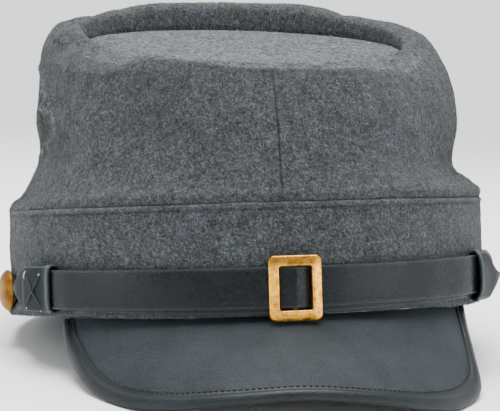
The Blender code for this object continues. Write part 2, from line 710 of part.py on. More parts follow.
def face_sideways(obj, keeper, offset):
    """Stands a turned piece at the keeper's button, with its axis outward and turned a little to the front."""
    azimuth = keeper.side * math.radians(BUTTON_AZIMUTH)
    point, outward = band_outline(azimuth, offset)
    heading = math.atan2(outward[1], outward[0]) - keeper.side * BUTTON_TURN
    obj.location = (point[0], point[1], keeper.button_z)
    obj.rotation_euler = (0.0, math.pi / 2, heading)


def shank_cutter(keeper, parent):
    name = f"{keeper.name}_hole"
    rows = [(SHANK_HOLE_RADIUS, -0.004), (SHANK_HOLE_RADIUS, 0.002)]
    cutter = turned(name, rows, 16, leather(name), parent)
    face_sideways(cutter, keeper, BUTTON_SEAT)
    cutter.hide_render = True
    cutter.display_type = "WIRE"
    return cutter


def make_button(name, keeper, parent):
    """A domed button with a plain shank through the keeper's tab."""
    rows = [(SHANK_RADIUS, -SHANK_BACK), (SHANK_RADIUS, 0.0)] + [tuple(row) for row in BUTTON_ROWS]
    obj = turned(name, rows, BUTTON_STEPS, brass(f"brass_{name}"), parent)
    face_sideways(obj, keeper, BUTTON_SEAT)
    return obj


def rounded_rectangle(width, height, corner, steps=5):
    points = []
    for quarter in range(4):
        centre_x = (width / 2 - corner) * (1 if quarter in (0, 3) else -1)
        centre_y = (height / 2 - corner) * (1 if quarter in (0, 1) else -1)
        for turn in np.linspace(quarter, quarter + 1, steps) * math.pi / 2:
            points.append((centre_x + corner * math.cos(turn), centre_y + corner * math.sin(turn)))
    return points


def make_buckle(parent):
    """A bevelled rectangular frame with an upright bar behind its window, all one casting."""
    bevel = BUCKLE_THICKNESS * 0.3
    lip = BUCKLE_THICKNESS * 0.15
    loops = [
        (WINDOW_WIDTH, WINDOW_HEIGHT, WINDOW_CORNER, 0.0),
        (BUCKLE_WIDTH, BUCKLE_HEIGHT, BUCKLE_CORNER, 0.0),
        (BUCKLE_WIDTH, BUCKLE_HEIGHT, BUCKLE_CORNER, BUCKLE_THICKNESS - bevel),
        (BUCKLE_WIDTH - 2 * bevel, BUCKLE_HEIGHT - 2 * bevel, BUCKLE_CORNER - bevel, BUCKLE_THICKNESS),
        (WINDOW_WIDTH + 2 * lip, WINDOW_HEIGHT + 2 * lip, WINDOW_CORNER + lip, BUCKLE_THICKNESS),
        (WINDOW_WIDTH, WINDOW_HEIGHT, WINDOW_CORNER, BUCKLE_THICKNESS - lip),
    ]
    sections = [
        [(x, y, level) for x, y in rounded_rectangle(width, height, corner)]
        for width, height, corner, level in loops
    ]
    frame = tube_object("buckle", np.array(sections), brass("brass_buckle"), parent, closed_path=True)
    azimuth = math.asin(BUCKLE_X / STRAP_RING.right)
    point, outward = band_outline(azimuth, BUCKLE_BACK)
    frame.location = (point[0], point[1], BUCKLE_Z)
    frame.rotation_euler = (math.pi / 2, 0.0, math.atan2(outward[0], -outward[1]))
    bar_length = (WINDOW_HEIGHT + BUCKLE_HEIGHT) / 2
    rows = [(BAR_RADIUS, -bar_length / 2), (BAR_RADIUS, bar_length / 2)]
    bar = turned("buckle_bar", rows, 12, brass("brass_bar"), frame)
    bar.location = (0.0, 0.0, BAR_OFFSET - BUCKLE_BACK)
    bar.rotation_euler = (math.pi / 2, 0.0, 0.0)
    bar.hide_render = True
    bar.display_type = "WIRE"
    joined = frame.modifiers.new("bar", "BOOLEAN")
    joined.operation = "UNION"
    joined.solver = "EXACT"
    joined.object = bar
    return frame


def world_points(objects):
    return np.array([obj.matrix_world @ vertex.co for obj in objects for vertex in obj.data.vertices])


def stand_up(base, objects):
    """Turns the base until the peak's two corners and the back of the band are level, then centres it."""
    for _ in range(REST_ROUNDS):
        bpy.context.view_layer.update()
        points = world_points(objects)
        regions = (
            (points[:, 0] < 0) & (points[:, 1] < -0.06),
            (points[:, 0] > 0) & (points[:, 1] < -0.06),
            points[:, 1] > 0.06,
        )
        left, right, back = [Vector(points[region][points[region][:, 2].argmin()]) for region in regions]
        up = (right - left).cross(back - left).normalized()
        level = up.rotation_difference(Vector((0, 0, 1))).to_matrix().to_4x4()
        base.matrix_world = level @ base.matrix_world
    bpy.context.view_layer.update()
    points = world_points(objects)
    low = points.min(axis=0)
    high = points.max(axis=0)
    shift = Matrix.Translation((-(low[0] + high[0]) / 2, -(low[1] + high[1]) / 2, -low[2]))
    base.matrix_world = shift @ base.matrix_world
    bpy.context.view_layer.update()


def main():
    clear_scene()
    base = bpy.data.objects.new("kepi_cap", None)
    bpy.context.scene.collection.objects.link(base)
    seam = SEAM_HALF_GAP / BAND_RINGS[-1].right
    pieces = [
        make_band(base),
        make_crown_panel("crown_right", seam, math.pi - seam, base),
        make_crown_panel("crown_left", seam - math.pi, -seam, base),
        make_top(base),
        make_peak(base),
        make_peak_binding(base),
        strap_object("strap_under", UNDER_DROP, GAP, 0.0, base),
        strap_object("strap_upper", 0.0, 2 * GAP + STRAP_THICKNESS, BAR_HUMP, base),
        make_keeper(KEEPERS[0], base),
        make_keeper(KEEPERS[1], base),
        make_buckle(base),
        make_button("button_left", KEEPERS[0], base),
        make_button("button_right", KEEPERS[1], base),
    ]
    stand_up(base, pieces)


main()
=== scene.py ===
"""How the kepi cap looks: wool with its nap, stitched leather, worn brass, and a plain studio.

The cap's surfaces are worked out in its own frame, finer than in the solids, and stood up like them.
In that frame X points to the viewer's right and Y to the back. Azimuths turn from the front to the right.
"""

import math
from collections import namedtuple

import bpy
import numpy as np
from mathutils import Matrix, Vector


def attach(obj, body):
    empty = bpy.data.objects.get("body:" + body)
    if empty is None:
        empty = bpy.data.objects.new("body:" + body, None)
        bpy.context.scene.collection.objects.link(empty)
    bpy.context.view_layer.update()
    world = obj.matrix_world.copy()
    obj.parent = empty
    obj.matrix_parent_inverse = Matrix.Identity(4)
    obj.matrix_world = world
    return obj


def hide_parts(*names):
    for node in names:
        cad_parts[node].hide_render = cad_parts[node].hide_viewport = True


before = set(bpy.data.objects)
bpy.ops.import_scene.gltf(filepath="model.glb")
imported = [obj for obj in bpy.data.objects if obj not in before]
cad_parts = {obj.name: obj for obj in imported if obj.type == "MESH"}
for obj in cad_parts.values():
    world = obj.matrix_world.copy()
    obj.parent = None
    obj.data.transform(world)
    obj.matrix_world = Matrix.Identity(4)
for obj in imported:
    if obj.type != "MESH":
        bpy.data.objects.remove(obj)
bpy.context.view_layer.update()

# --- sizes, in metres and degrees of azimuth

MM = 0.001
GAP = 0.0003
FLOOR_CLEARANCE = 0.0001

# The cap's own frame, stood on the corners of its peak and the back of its band.
STAND = np.array(
    [
        [0.998897, 0.002503, -0.046885, 0.000541],
        [0.004023, 0.990343, 0.138576, 0.019115],
        [0.046779, -0.138612, 0.989241, 0.014654],
        [0.0, 0.0, 0.0, 1.0],
    ]
)

# The camera, in the cap's own frame
PHOTO_WIDTH = 500
FOCAL_PIXELS = 1606.53
SENSOR_MM = 36.0
CAMERA_DISTANCE = 0.64267
CAMERA_TURN = math.radians(8.0809)
CAMERA_PITCH = math.radians(-0.3366)
CAMERA_ROLL = math.radians(1.6977)
CAMERA_SIDE = 0.002185
CAMERA_RISE = -0.021122
AIM_HEIGHT = 0.060

BAND_HEIGHT = 0.0395
BAND_WALL = 0.0026
BAND_RADIUS = 0.094
BAND_COLUMNS = 480
BAND_FINE = 0.0040
BAND_STEPS = (9, 34, 18)  # in the fine strip at the hem, between, and in the one at the top
HEM_SLANT = 0.0010
HEM_LIFT_LEFT = 0.0010
HEM_LIFT_RIGHT = -0.0012
HEM_LIFT_AT = 54.0
HEM_LIFT_REACH = 17.0
TAB_DENT = 0.0015
TAB_DENT_FROM = 69.0
TAB_DENT_RAMP = 3.0
TAB_DENT_HALF = 0.0044

CROWN_WALL = 0.0022
CROWN_COLUMNS = 288
CROWN_FINE = 0.0024
CROWN_STEPS = (9, 122)  # in the fine strip along the lower seam, and above it
SEAM_CROWDING = 0.72
SEAM_HALF_GAP = 0.00017
SEAM_LEAN = math.radians(1.7)
FOLD_RADIUS = 0.085
FOLD_FADE = 0.010
ROLL_ROW = 7  # the crown ring from which the wool rolls over the top edge

TOP_RADIUS = 0.0618
TOP_CENTRE = (0.0, -0.009, 0.102)
TOP_PITCH = math.radians(12.3)
TOP_ROLL = math.radians(1.75)
TOP_THICKNESS = 0.0022
TOP_CURL = 0.0006
TOP_COLUMNS = 288
TOP_STEPS = 54
TUCK_DEPTH = 0.0026

# Loose fibres: how many a piece has, and the spread of their lengths, widths and shades
CROWN_FIBRES = 45000
BAND_FIBRES = 31000
FRINGE_FIBRES = 6000
TOP_FIBRES = 19000
FIBRE_LENGTHS = (0.45, 1.4)
FIBRE_WIDTHS = (0.5, 1.3)
FIBRE_SHADES = (1.6, 1.9)
FIBRE_BEND = 0.5
FIBRE_ROOT = 0.00003

PEAK_THICKNESS = 0.0016
PEAK_ROOT_INSET = 0.0030
PEAK_ROOT_Z = -0.0004
PEAK_END_Z = -0.0011
PEAK_ARCH = 0.0022
PEAK_EDGE_INSET = 0.0018
PEAK_MARGIN = 0.0004
PEAK_LEAST_DEPTH = 0.0010
PEAK_STEPS = 43
RIM_INSET = 0.0026
RIM_STEPS = 301
EDGE_SAMPLES = 600
BINDING_WIDTH = 0.0042
BINDING_LEAST = 0.0023
STITCH_START = 0.002
STITCH_STOP = 0.003
STITCH_INSET = 0.0001
STITCH_PITCH = 0.0020
STITCH_SHARE = 0.66
STITCH_RADIUS = 0.00022

STRAP_THICKNESS = 0.0012
STRAP_WIDTH = 0.0140
STRAP_MID_Z = 0.0102
STRAP_RISE_LEFT = 0.0003
STRAP_RISE_RIGHT = 0.0007
STRAP_END_LEFT = -61.0
STRAP_END_RIGHT = 57.0
STRAP_STEPS = 330
UNDER_DROP = 0.0021
UNDER_DROP_SPAN_LEFT = 52.0
UNDER_DROP_SPAN_RIGHT = 72.0
KEEPER_LIFT = 0.0014
LIFT_FROM = 38.0
LIFT_TO = 50.0

OUTER_ROUNDING = 0.5
POCKET_ROUNDING = 0.3
MOUTH_ROUNDING = 0.38
KEEPER_SIDES = 72
POCKET_DEPTH = 0.92  # as a place along the keeper
POCKET_STEPS = 12
CROSS_RADIUS = 0.00044
KEEPER_SLIM = 0.0011
POCKET_SLIM = 0.0009

BUCKLE_X = 0.0025
BUCKLE_Z = 0.0099
BUCKLE_HEIGHT = 0.0223
BUCKLE_THICKNESS = 0.0026
BUCKLE_BACK = 0.0034
BUCKLE_OUTLINE = (0.0183, BUCKLE_HEIGHT, 0.0022)  # width, height and corner radius
WINDOW_HEIGHT = 0.0149
WINDOW_OUTLINE = (0.0114, WINDOW_HEIGHT, 0.0008)
CORNER_STEPS = 10
SIDE_STEPS = 14
BAR_RADIUS = 0.0009
BAR_SIDES = 20
BAR_OFFSET = 0.0027
BAR_HUMP = 0.0021
BAR_HUMP_REACH = 0.0070

BUTTON_AZIMUTH = 81.5
BUTTON_TURN = math.radians(5.0)
BUTTON_SEAT = 0.0013
BUTTON_STEPS = 40
BUTTON_SIDES = 72
SHANK_RADIUS = 0.0011
SHANK_BACK = 0.0017

FLOOR_SIDES = 64
FLOOR_REACH = 1.1
FLOOR_BEND = 0.4
WALL_TOP = 1.4

# --- tables, in millimetres and degrees of azimuth

Ring = namedtuple("Ring", "front back right left z_front z_back z_right z_left")
Fold = namedtuple("Fold", "azimuth z to_azimuth to_z width push lift")
PaintedLight = namedtuple("PaintedLight", "azimuth z to_azimuth to_z width amount")
KeeperRow = namedtuple("KeeperRow", "place half back front flare pocket_half pocket_back pocket_front")
Keeper = namedtuple("Keeper", "name side mouth shoulder tip mid_z growth flare button_z")


def table(kind, units, rows):
    """Named rows of a table, whose columns are given in these units."""
    return [kind(*row) for row in np.array(rows) * units]


BAND_RINGS = table(Ring, [MM] * 8, [
    (95.3, 95.1, 92.4, 93.6, 0.6, -0.6, 0.4, -0.4),  # hem
    (95.7, 95.7, 92.8, 94.2, 1.3, 0.8, 1.2, 0.8),
    (95.8, 95.8, 92.8, 93.4, 3.5, 3.5, 3.5, 3.5),
    (95.9, 95.9, 92.9, 93.1, 8, 8, 8, 8),
    (95.9, 95.9, 92.9, 93, 15, 15, 15, 15),
    (96, 96, 93, 93, 17, 17, 17, 17),
    (96, 96, 93, 93.1, 19.5, 19.5, 19.5, 19.5),  # where the strap lies
    (96, 96, 93, 93, 39.5, 39.5, 39.5, 39.5),
])
STRAP_RING = BAND_RINGS[6]

CROWN_RINGS = table(Ring, [MM] * 8, [
    (96, 96, 93, 93, 39.8, 39.8, 39.8, 39.8),  # seam to the band
    (95.6, 95.6, 93.1, 91.7, 42, 42, 42.4, 42.1),
    (94.5, 94.5, 90, 88.4, 45, 45.5, 45.6, 44.6),
    (91.8, 91, 82.3, 79, 56, 59, 52.3, 63.9),  # waist
    (89.4, 89, 84.6, 79.7, 68, 77, 69.9, 75.1),
    (86.8, 86.5, 83.6, 78.7, 78.5, 96, 85.1, 91.5),
    (84.8, 81, 80.1, 78.1, 84, 113, 95.7, 101.1),
    (82.8, 73, 74.3, 71.9, 86.3, 124.5, 105, 109.6),
    (79.5, 64, 71.1, 69.8, 87, 127.6, 106.8, 110.1),  # crest
    (74.5, 52, 62.2, 62.2, 86.8, 123.6, 104.4, 108.6),
])

# Folds run from one spot of the crown to another, and push it outward or lift it.
FOLDS = table(Fold, (1, MM, 1, MM, MM, MM, MM), [
    (-86, 94, -73, 78, 3, 1.8, 0),
    (-73, 78, -82, 60, 3, 1.8, 0),
    (-93, 91, -80, 78.5, 3.4, -4.6, 0),
    (-80, 77.5, -88, 62, 3.2, -4, 0),
    (-73, 78, -48, 60, 4.5, 1, 0),
    (-106, 94, -100, 70, 10, 3, 0),
    (14, 68, 13, 54, 4, 0.7, 0),
    (-42, 82, -30, 58, 10, -1.2, 0),
    (44, 80, 52, 56, 11, -1.2, 0),
    (-74, 107, -46, 98, 9, 0, -4.9),
    (72, 103, 48, 96, 9, 0, -4),
    (-120, 122, -124, 108, 11, 0, -1.4),
    (-100, 113, -84, 107, 7, 2, 0),
    (133, 120, 130, 107, 6, 0, -1.2),
    (154, 128, 147, 112, 11, 0, 0.7),
    (165, 100, 172, 66, 13, -2, 0),
    (-160, 96, -150, 64, 13, -1.8, 0),
    (-155, 126, -145, 126, 11, 0, 0.3),
    (-137, 122, -127, 122, 11, 0, -1),
    (115, 116, 125, 116, 11, 0, -1),
    (93, 108, 103, 108, 11, 0, -0.4),
    (145, 126, 155, 126, 11, 0, 0.4),
    (167, 128, 177, 128, 11, 0, 0.3),
    (-31, 88, -19, 88, 10, 0, 0.8),
    (19, 88, 31, 88, 10, 0, -0.9),
    (36, 90, 48, 90, 10, 0, -2.6),
    (52, 94, 64, 94, 10, 0, -0.9),
    (-64, 96, -52, 96, 10, 0, -0.3),
])

# Along these lines light is painted on the wool: a painted highlight on ridges, or painted shade in
# hollows where the amount is below zero.
PAINTED_LIGHTS = table(PaintedLight, (1, MM, 1, MM, MM, 1), [
    (-80, 88, -70, 73.5, 1.6, 0.32),
    (-70, 72.5, -82, 60.5, 1.6, 0.32),
    (-92, 85, -81, 73.5, 7.5, -0.24),
    (-81, 72.5, -90, 64, 7, -0.24),
    (-70, 76, -47, 60, 2.8, 0.06),
    (-72, 70, -62, 58, 6, -0.05),
    (-40, 84, -32, 64, 12, -0.04),
    (76, 47, 92, 44, 3, 0.05),
    (60, 54, 100, 54, 4, -0.06),
])

# The peak's edge from the left to the right: X, Y and Z
PEAK_EDGE = MM * np.array([
    (-74.6, -56.2, -1.3),
    (-74.2, -63.6, -9.5),
    (-71.8, -74.8, -16),
    (-66.8, -91, -23),
    (-57.6, -106.6, -26.9),
    (-43.2, -121, -26.9),
    (-23.6, -132.4, -24.7),
    (0, -136.9, -23.5),
    (23.4, -132.6, -26.6),
    (42.6, -122.2, -30.6),
    (58, -107.8, -32.6),
    (68.2, -91.8, -29.2),
    (70.9, -75.8, -21),
    (71.8, -64.8, -11.6),
    (72.8, -57, -1.7),
])

# Along a keeper, place 0 is the mouth, 1 the shoulder, 2 the tip and 3 the button.
KEEPER_ROWS = np.array([
    (0, 8.5, 0.3, 6.9, 0, 7.6, 1.4, 5.8),
    (0.3, 8.5, 0.3, 6.8, 0, 7.6, 1.4, 5.6),
    (0.65, 8.5, 0.3, 6.5, 0, 7.6, 1.4, 5.3),
    (0.92, 8.4, 0.3, 6.3, 0.1, 7.5, 1.4, 5),  # the pocket's end
    (1.08, 8.2, 0.3, 6.2, 0.2, 0, 0, 0),
    (1.55, 4.6, 0.8, 6.1, 0.6, 0, 0, 0),
    (2, 1, 2.6, 5.6, 1, 0, 0, 0),
    (2.2, 2.4, 0, 1.2, 0, 0, 0, 0),
    (2.55, 3.2, -0.6, 0.6, 0, 0, 0, 0),  # the tab
    (3.35, 3.2, -0.6, 0.6, 0, 0, 0, 0),
]) * (1, MM, MM, MM, 1, MM, MM, MM)

KEEPERS = [
    Keeper("keeper_left", -1, 53.8, 63.6, 69.3, 0.0107, 1.0, 0.0, 0.009),
    Keeper("keeper_right", 1, 52.0, 58.6, 66.7, 0.0103, 1.11, 0.002, 0.0108),
]

# The button's profile from its rim to its middle: radius and height
BUTTON_ROWS = MM * np.array([
    (6.8, 0),
    (7.7, 0.3),
    (7.9, 0.9),
    (7.5, 1.6),
    (6.3, 2.8),
    (4.3, 3.7),
    (2.1, 4.1),
    (0, 4.2),
])

# --- surfaces


def unit(vectors):
    return vectors / np.linalg.norm(vectors, axis=-1, keepdims=True)


def bell(distance, width):
    """One where the distance is nought, and almost nothing two widths away."""
    return np.exp(-((distance / width) ** 2))


def relief(distance, *ridges):
    """The sum of soft ridges, each given by its height, where it lies and its width."""
    return sum(height * bell(distance - at, width) for height, at, width in ridges)


def share_of(value, start, end):
    """How far a value is on its way from start to end, from 0 to 1."""
    return np.clip((value - start) / (end - start), 0, 1)


def eased(share):
    """A share from 0 to 1 that starts and stops gently."""
    return share**2 * (3 - 2 * share)


def whole_turn(steps, start=0.0):
    return start + np.linspace(0, 2 * math.pi, steps, endpoint=False)


def lengths_along(points):
    """The way to each of a row of points from the first."""
    steps = np.linalg.norm(np.diff(points, axis=0), axis=-1)
    return np.concatenate([[0.0], np.cumsum(steps)])


def smooth_through(knots, rows, places):
    """Values at places on a smooth curve through rows that belong to knots."""
    slopes = np.gradient(rows, knots, axis=0)
    index = np.clip(np.searchsorted(knots, places, side="right") - 1, 0, len(knots) - 2)
    step = (knots[index + 1] - knots[index])[..., None]
    u = (places - knots[index])[..., None] / step
    start = rows[index] * (1 + 2 * u) * (1 - u) ** 2 + slopes[index] * step * u * (1 - u) ** 2
    end = rows[index + 1] * u**2 * (3 - 2 * u) + slopes[index + 1] * step * u**2 * (u - 1)
    return start + end


def ring_points(rings, azimuth):
    """Points at an azimuth on rings that are given by their reach and height on four sides."""
    front, back, right, left, z_front, z_back, z_right, z_left = np.moveaxis(rings, -1, 0)
    s = np.sin(azimuth)
    c = np.cos(azimuth)
    x = s * (right + left) / 2 + s * s * (right - left) / 2
    y = -c * (front + back) / 2 + (back - front) / 2
    level = (z_front + z_back + z_right + z_left) / 4
    pitch = c * (z_front - z_back) / 2
    roll = s * (z_right - z_left) / 2
    saddle = np.cos(2 * azimuth) * (z_front + z_back - z_right - z_left) / 4
    return np.stack([x, y, level + pitch + roll + saddle], axis=-1)


def top_ring(radius, depth):
    """A ring of the sunken top, which slopes to the front and a little to the right."""
    x, y, z = TOP_CENTRE
    y = y + depth * math.sin(TOP_PITCH)
    z = z - depth * math.cos(TOP_PITCH)
    reach = radius * math.cos(TOP_PITCH)
    rise = radius * math.sin(TOP_PITCH)
    side = radius * math.cos(TOP_ROLL)
    dip = radius * math.sin(TOP_ROLL)
    return Ring(reach - y, reach + y, side + x, side - x, z - rise, z + rise, z - dip, z + dip)


CROWN_TABLE = np.array(CROWN_RINGS + [top_ring(TOP_RADIUS + GAP, depth) for depth in (0.0, TUCK_DEPTH)])
CROWN_KNOTS = lengths_along(CROWN_TABLE.reshape(-1, 2, 4).mean(axis=2))


def distance_to(line, azimuth, z):
    """How far spots of the crown lie from a line on it, as on a cylinder of the fold radius."""
    turn = (azimuth - math.radians(line.azimuth) + math.pi) % (2 * math.pi) - math.pi
    along = FOLD_RADIUS * math.radians(line.to_azimuth - line.azimuth)
    up = line.to_z - line.z
    place_x = FOLD_RADIUS * turn
    place_z = z - line.z
    share = np.clip((place_x * along + place_z * up) / (along**2 + up**2), 0, 1)
    return np.hypot(place_x - share * along, place_z - share * up)


def crown_surface(place, azimuth):
    """Points of the crown: how far up from its lower seam, and where round it."""
    azimuth = azimuth - SEAM_LEAN * np.cos(azimuth) * (place / CROWN_KNOTS[-1]) ** 3
    points = ring_points(smooth_through(CROWN_KNOTS, CROWN_TABLE, place), azimuth)
    near_top = share_of(CROWN_KNOTS[-2] - place, 0, FOLD_FADE)
    fade = eased(share_of(place, 0, FOLD_FADE)) * eased(near_top)
    weights = [fade * bell(distance_to(fold, azimuth, points[..., 2]), fold.width) for fold in FOLDS]
    push = sum(fold.push * weight for fold, weight in zip(FOLDS, weights))
    lift = sum(fold.lift * weight for fold, weight in zip(FOLDS, weights))
    outward = np.stack([np.sin(azimuth), -np.cos(azimuth), 0 * azimuth], axis=-1)
    points = points + outward * push[..., None]
    points[..., 2] += lift
    return points


def band_outline(azimuth, offset):
    """Points of the band's outline behind the strap, moved outward, and the outward directions there."""
    ring = np.array(STRAP_RING)
    azimuth = np.asarray(azimuth, float)
    step = 1e-4
    around = ring_points(ring, azimuth + step) - ring_points(ring, azimuth - step)
    outward = unit(np.stack([around[..., 1], -around[..., 0], 0 * around[..., 2]], axis=-1))
    return ring_points(ring, azimuth) + outward * np.asarray(offset, float)[..., None], outward


def grid_normals(points, closed=False):
    """Normals of a grid of points whose rows run up and columns to the right, seen from outside."""
    if closed:
        wide = np.concatenate([points[:, -1:], points, points[:, :1]], axis=1)
        around = (wide[:, 2:] - wide[:, :-2]) / 2
    else:
        around = np.gradient(points, axis=1)
    return unit(np.cross(around, np.gradient(points, axis=0)))


def lumps(points, size, seed, lattice=40):
    """Smooth random values from -1 to 1 through space, one lump in about each size."""
    values = np.random.default_rng(seed).uniform(-1, 1, (lattice, lattice, lattice))
    place = np.asarray(points) / size
    cell = np.floor(place).astype(int)
    share = eased(place - cell)
    total = np.zeros(place.shape[:-1])
    for corner in np.ndindex(2, 2, 2):
        index = (cell + np.array(corner)) % lattice
        weight = np.where(np.array(corner) == 1, share, 1 - share).prod(axis=-1)
        total += values[index[..., 0], index[..., 1], index[..., 2]] * weight
    return total


def uneven(points, *layers):
    """The sum of layers of lumps, each given by its depth, the size of its lumps and its seed."""
    return sum(depth * lumps(points, size, seed) for depth, size, seed in layers)


# --- meshes


def stood(points):
    """Points of the cap's own frame in the frame it is stood up in."""
    return points @ STAND[:3, :3].T + STAND[:3, 3]


def add_mesh(name, points, faces, material, node, shade=None, uv=None, replaces=True):
    """One piece of the cap, from groups of faces with an equal count of corners."""
    mesh = bpy.data.meshes.new(name)
    faces = [tuple(face) for group in faces for face in np.asarray(group).tolist()]
    placed = stood(np.asarray(points).reshape(-1, 3))
    placed[:, 2] = np.maximum(placed[:, 2], FLOOR_CLEARANCE)
    mesh.from_pydata(placed.tolist(), [], faces)
    corners = np.empty(len(mesh.loops), np.int32)
    mesh.loops.foreach_get("vertex_index", corners)
    if uv is not None:
        layer = mesh.uv_layers.new(name="cloth")
        layer.data.foreach_set("uv", np.asarray(uv, np.float32).reshape(-1, 2)[corners].ravel())
    if shade is not None:
        values = np.repeat(np.asarray(shade, np.float32).reshape(-1, 1), 4, axis=1)
        values[:, 3] = 1.0
        layer = mesh.color_attributes.new("shade", "FLOAT_COLOR", "POINT")
        layer.data.foreach_set("color", values.ravel())
    mesh.materials.append(material)
    mesh.shade_smooth()
    obj = bpy.data.objects.new(name, mesh)
    bpy.context.scene.collection.objects.link(obj)
    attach(obj, "root")
    if replaces:
        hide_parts(node)


def grid_quads(rows, columns, closed=False, start=0, flip=False):
    row = np.arange(rows - 1)[:, None]
    column = np.arange(columns if closed else columns - 1)[None, :]
    right = (column + 1) % columns
    low = start + row * columns
    high = low + columns
    quads = np.stack([low + column, low + right, high + right, high + column], axis=-1).reshape(-1, 4)
    return quads[:, ::-1] if flip else quads


def wall_mesh(outer, inner, skip):
    """A closed wall between two grids. The inner one keeps every skip-th point alone.

    Returns points, faces, and the index of the points that the inner grid keeps.
    """
    rows, columns = outer.shape[:2]
    thin_rows = sorted({*range(0, rows, skip), rows - 1})
    thin_columns = sorted({*range(0, columns, skip), columns - 1})
    thin = np.ix_(thin_rows, thin_columns)
    wide = len(thin_columns)
    count = rows * columns
    points = np.concatenate([outer.reshape(-1, 3), inner[thin].reshape(-1, 3)])
    faces = [grid_quads(rows, columns), grid_quads(len(thin_rows), wide, False, count, True)]
    last = count - columns
    thin_last = count + (len(thin_rows) - 1) * wide
    for index, (start, end) in enumerate(zip(thin_columns, thin_columns[1:])):
        run = list(range(start, end + 1))
        here = count + index
        faces.append([[here, here + 1] + run[::-1]])
        here = thin_last + index
        faces.append([[last + column for column in run] + [here + 1, here]])
    for index, (start, end) in enumerate(zip(thin_rows, thin_rows[1:])):
        run = [row * columns for row in range(start, end + 1)]
        here = count + index * wide
        faces.append([run + [here + wide, here]])
        here += wide - 1
        faces.append([[here, here + wide] + [point + columns - 1 for point in run[::-1]]])
    return points, faces, thin


def tube_mesh(sections, closed_path=False):
    """A tube through sections of equal point counts, with flat ends unless it runs back into itself."""
    count, sides = sections.shape[:2]
    here = (np.arange(count if closed_path else count - 1) * sides)[:, None]
    there = (here + sides) % (count * sides)
    side = np.arange(sides)[None, :]
    turn = (side + 1) % sides
    faces = [np.stack([here + side, there + side, there + turn, here + turn], axis=-1).reshape(-1, 4)]
    if not closed_path:
        faces.append(np.arange(sides)[None, :])
        faces.append(np.arange((count - 1) * sides, count * sides)[::-1][None, :])
    return sections.reshape(-1, 3), faces


def cord_mesh(paths, radius, sides=6):
    """Round threads along paths of equal point counts, closed at both ends."""
    paths = np.asarray(paths)
    along = unit(np.gradient(paths, axis=1))
    seed = np.where(np.abs(along[..., 2:3]) < 0.9, np.array([0.0, 0.0, 1.0]), np.array([1.0, 0.0, 0.0]))
    side_a = unit(np.cross(along, seed))
    side_b = np.cross(along, side_a)
    turn = whole_turn(sides)[:, None]
    ring = side_a[:, :, None] * np.cos(turn) + side_b[:, :, None] * np.sin(turn)
    steps = paths.shape[1]
    taper = np.sqrt(np.clip(1 - np.linspace(-1, 1, steps) ** 6, 0.04, 1)) * radius
    points = paths[:, :, None] + ring * taper[None, :, None, None]
    body = tube_mesh(points[0])[1]
    faces = [group + index * steps * sides for index in range(len(paths)) for group in body]
    return points.reshape(-1, 3), faces


# --- materials


def new_material(name):
    material = bpy.data.materials.new(name)
    material.use_nodes = True
    return material, material.node_tree, material.node_tree.nodes["Principled BSDF"]


def connect(tree, value, socket):
    """Links a node's input to an output, or sets it to a value."""
    if isinstance(value, bpy.types.NodeSocket):
        tree.links.new(value, socket)
    elif value is not None:
        socket.default_value = value


def set_inputs(tree, node, **inputs):
    """Sets or links inputs, whose names have _ for a space."""
    for key, value in inputs.items():
        connect(tree, value, node.inputs[key.replace("_", " ")])
    return node


def add_node(tree, kind, **inputs):
    return set_inputs(tree, tree.nodes.new(kind), **inputs)


def math_node(tree, operation, *inputs):
    node = tree.nodes.new("ShaderNodeMath")
    node.operation = operation
    for socket, value in zip(node.inputs, inputs):
        connect(tree, value, socket)
    return node.outputs["Value"]


def weighted(tree, start, *terms):
    """A start value plus outputs, each times its weight."""
    for output, weight in terms:
        start = math_node(tree, "MULTIPLY_ADD", output, weight, start)
    return start


def mix_colour(tree, factor, a, b, mode="MIX"):
    node = tree.nodes.new("ShaderNodeMix")
    node.data_type = "RGBA"
    node.blend_type = mode
    for socket, value in zip([socket for socket in node.inputs if socket.enabled], (factor, a, b)):
        connect(tree, value, socket)
    return next(socket for socket in node.outputs if socket.enabled)


def noise(tree, vector, scale, detail, rough):
    node = add_node(tree, "ShaderNodeTexNoise", Vector=vector, Scale=scale, Detail=detail, Roughness=rough)
    return node.outputs["Fac"]


def mapped(tree, vector, **inputs):
    return add_node(tree, "ShaderNodeMapping", Vector=vector, **inputs).outputs["Vector"]


def ramp(tree, factor, *stops):
    """Colours by a factor, each stop given by its place and its colour."""
    node = add_node(tree, "ShaderNodeValToRGB", Fac=factor)
    elements = node.color_ramp.elements
    while len(elements) < len(stops):
        elements.new(0.5)
    for element, (place, colour) in zip(elements, stops):
        element.position = place
        element.color = (*colour, 1.0)
    return node.outputs["Color"]


def shade_layer(tree):
    node = tree.nodes.new("ShaderNodeVertexColor")
    node.layer_name = "shade"
    return node.outputs["Color"]


def add_bump(tree, shader, height, strength, distance):
    bump = add_node(tree, "ShaderNodeBump", Height=height, Strength=strength, Distance=distance)
    tree.links.new(bump.outputs["Normal"], shader.inputs["Normal"])


def times(factor, colour):
    return tuple(factor * part for part in colour)


def wool_grey(value):
    return times(value, (0.925, 1.0, 1.055))


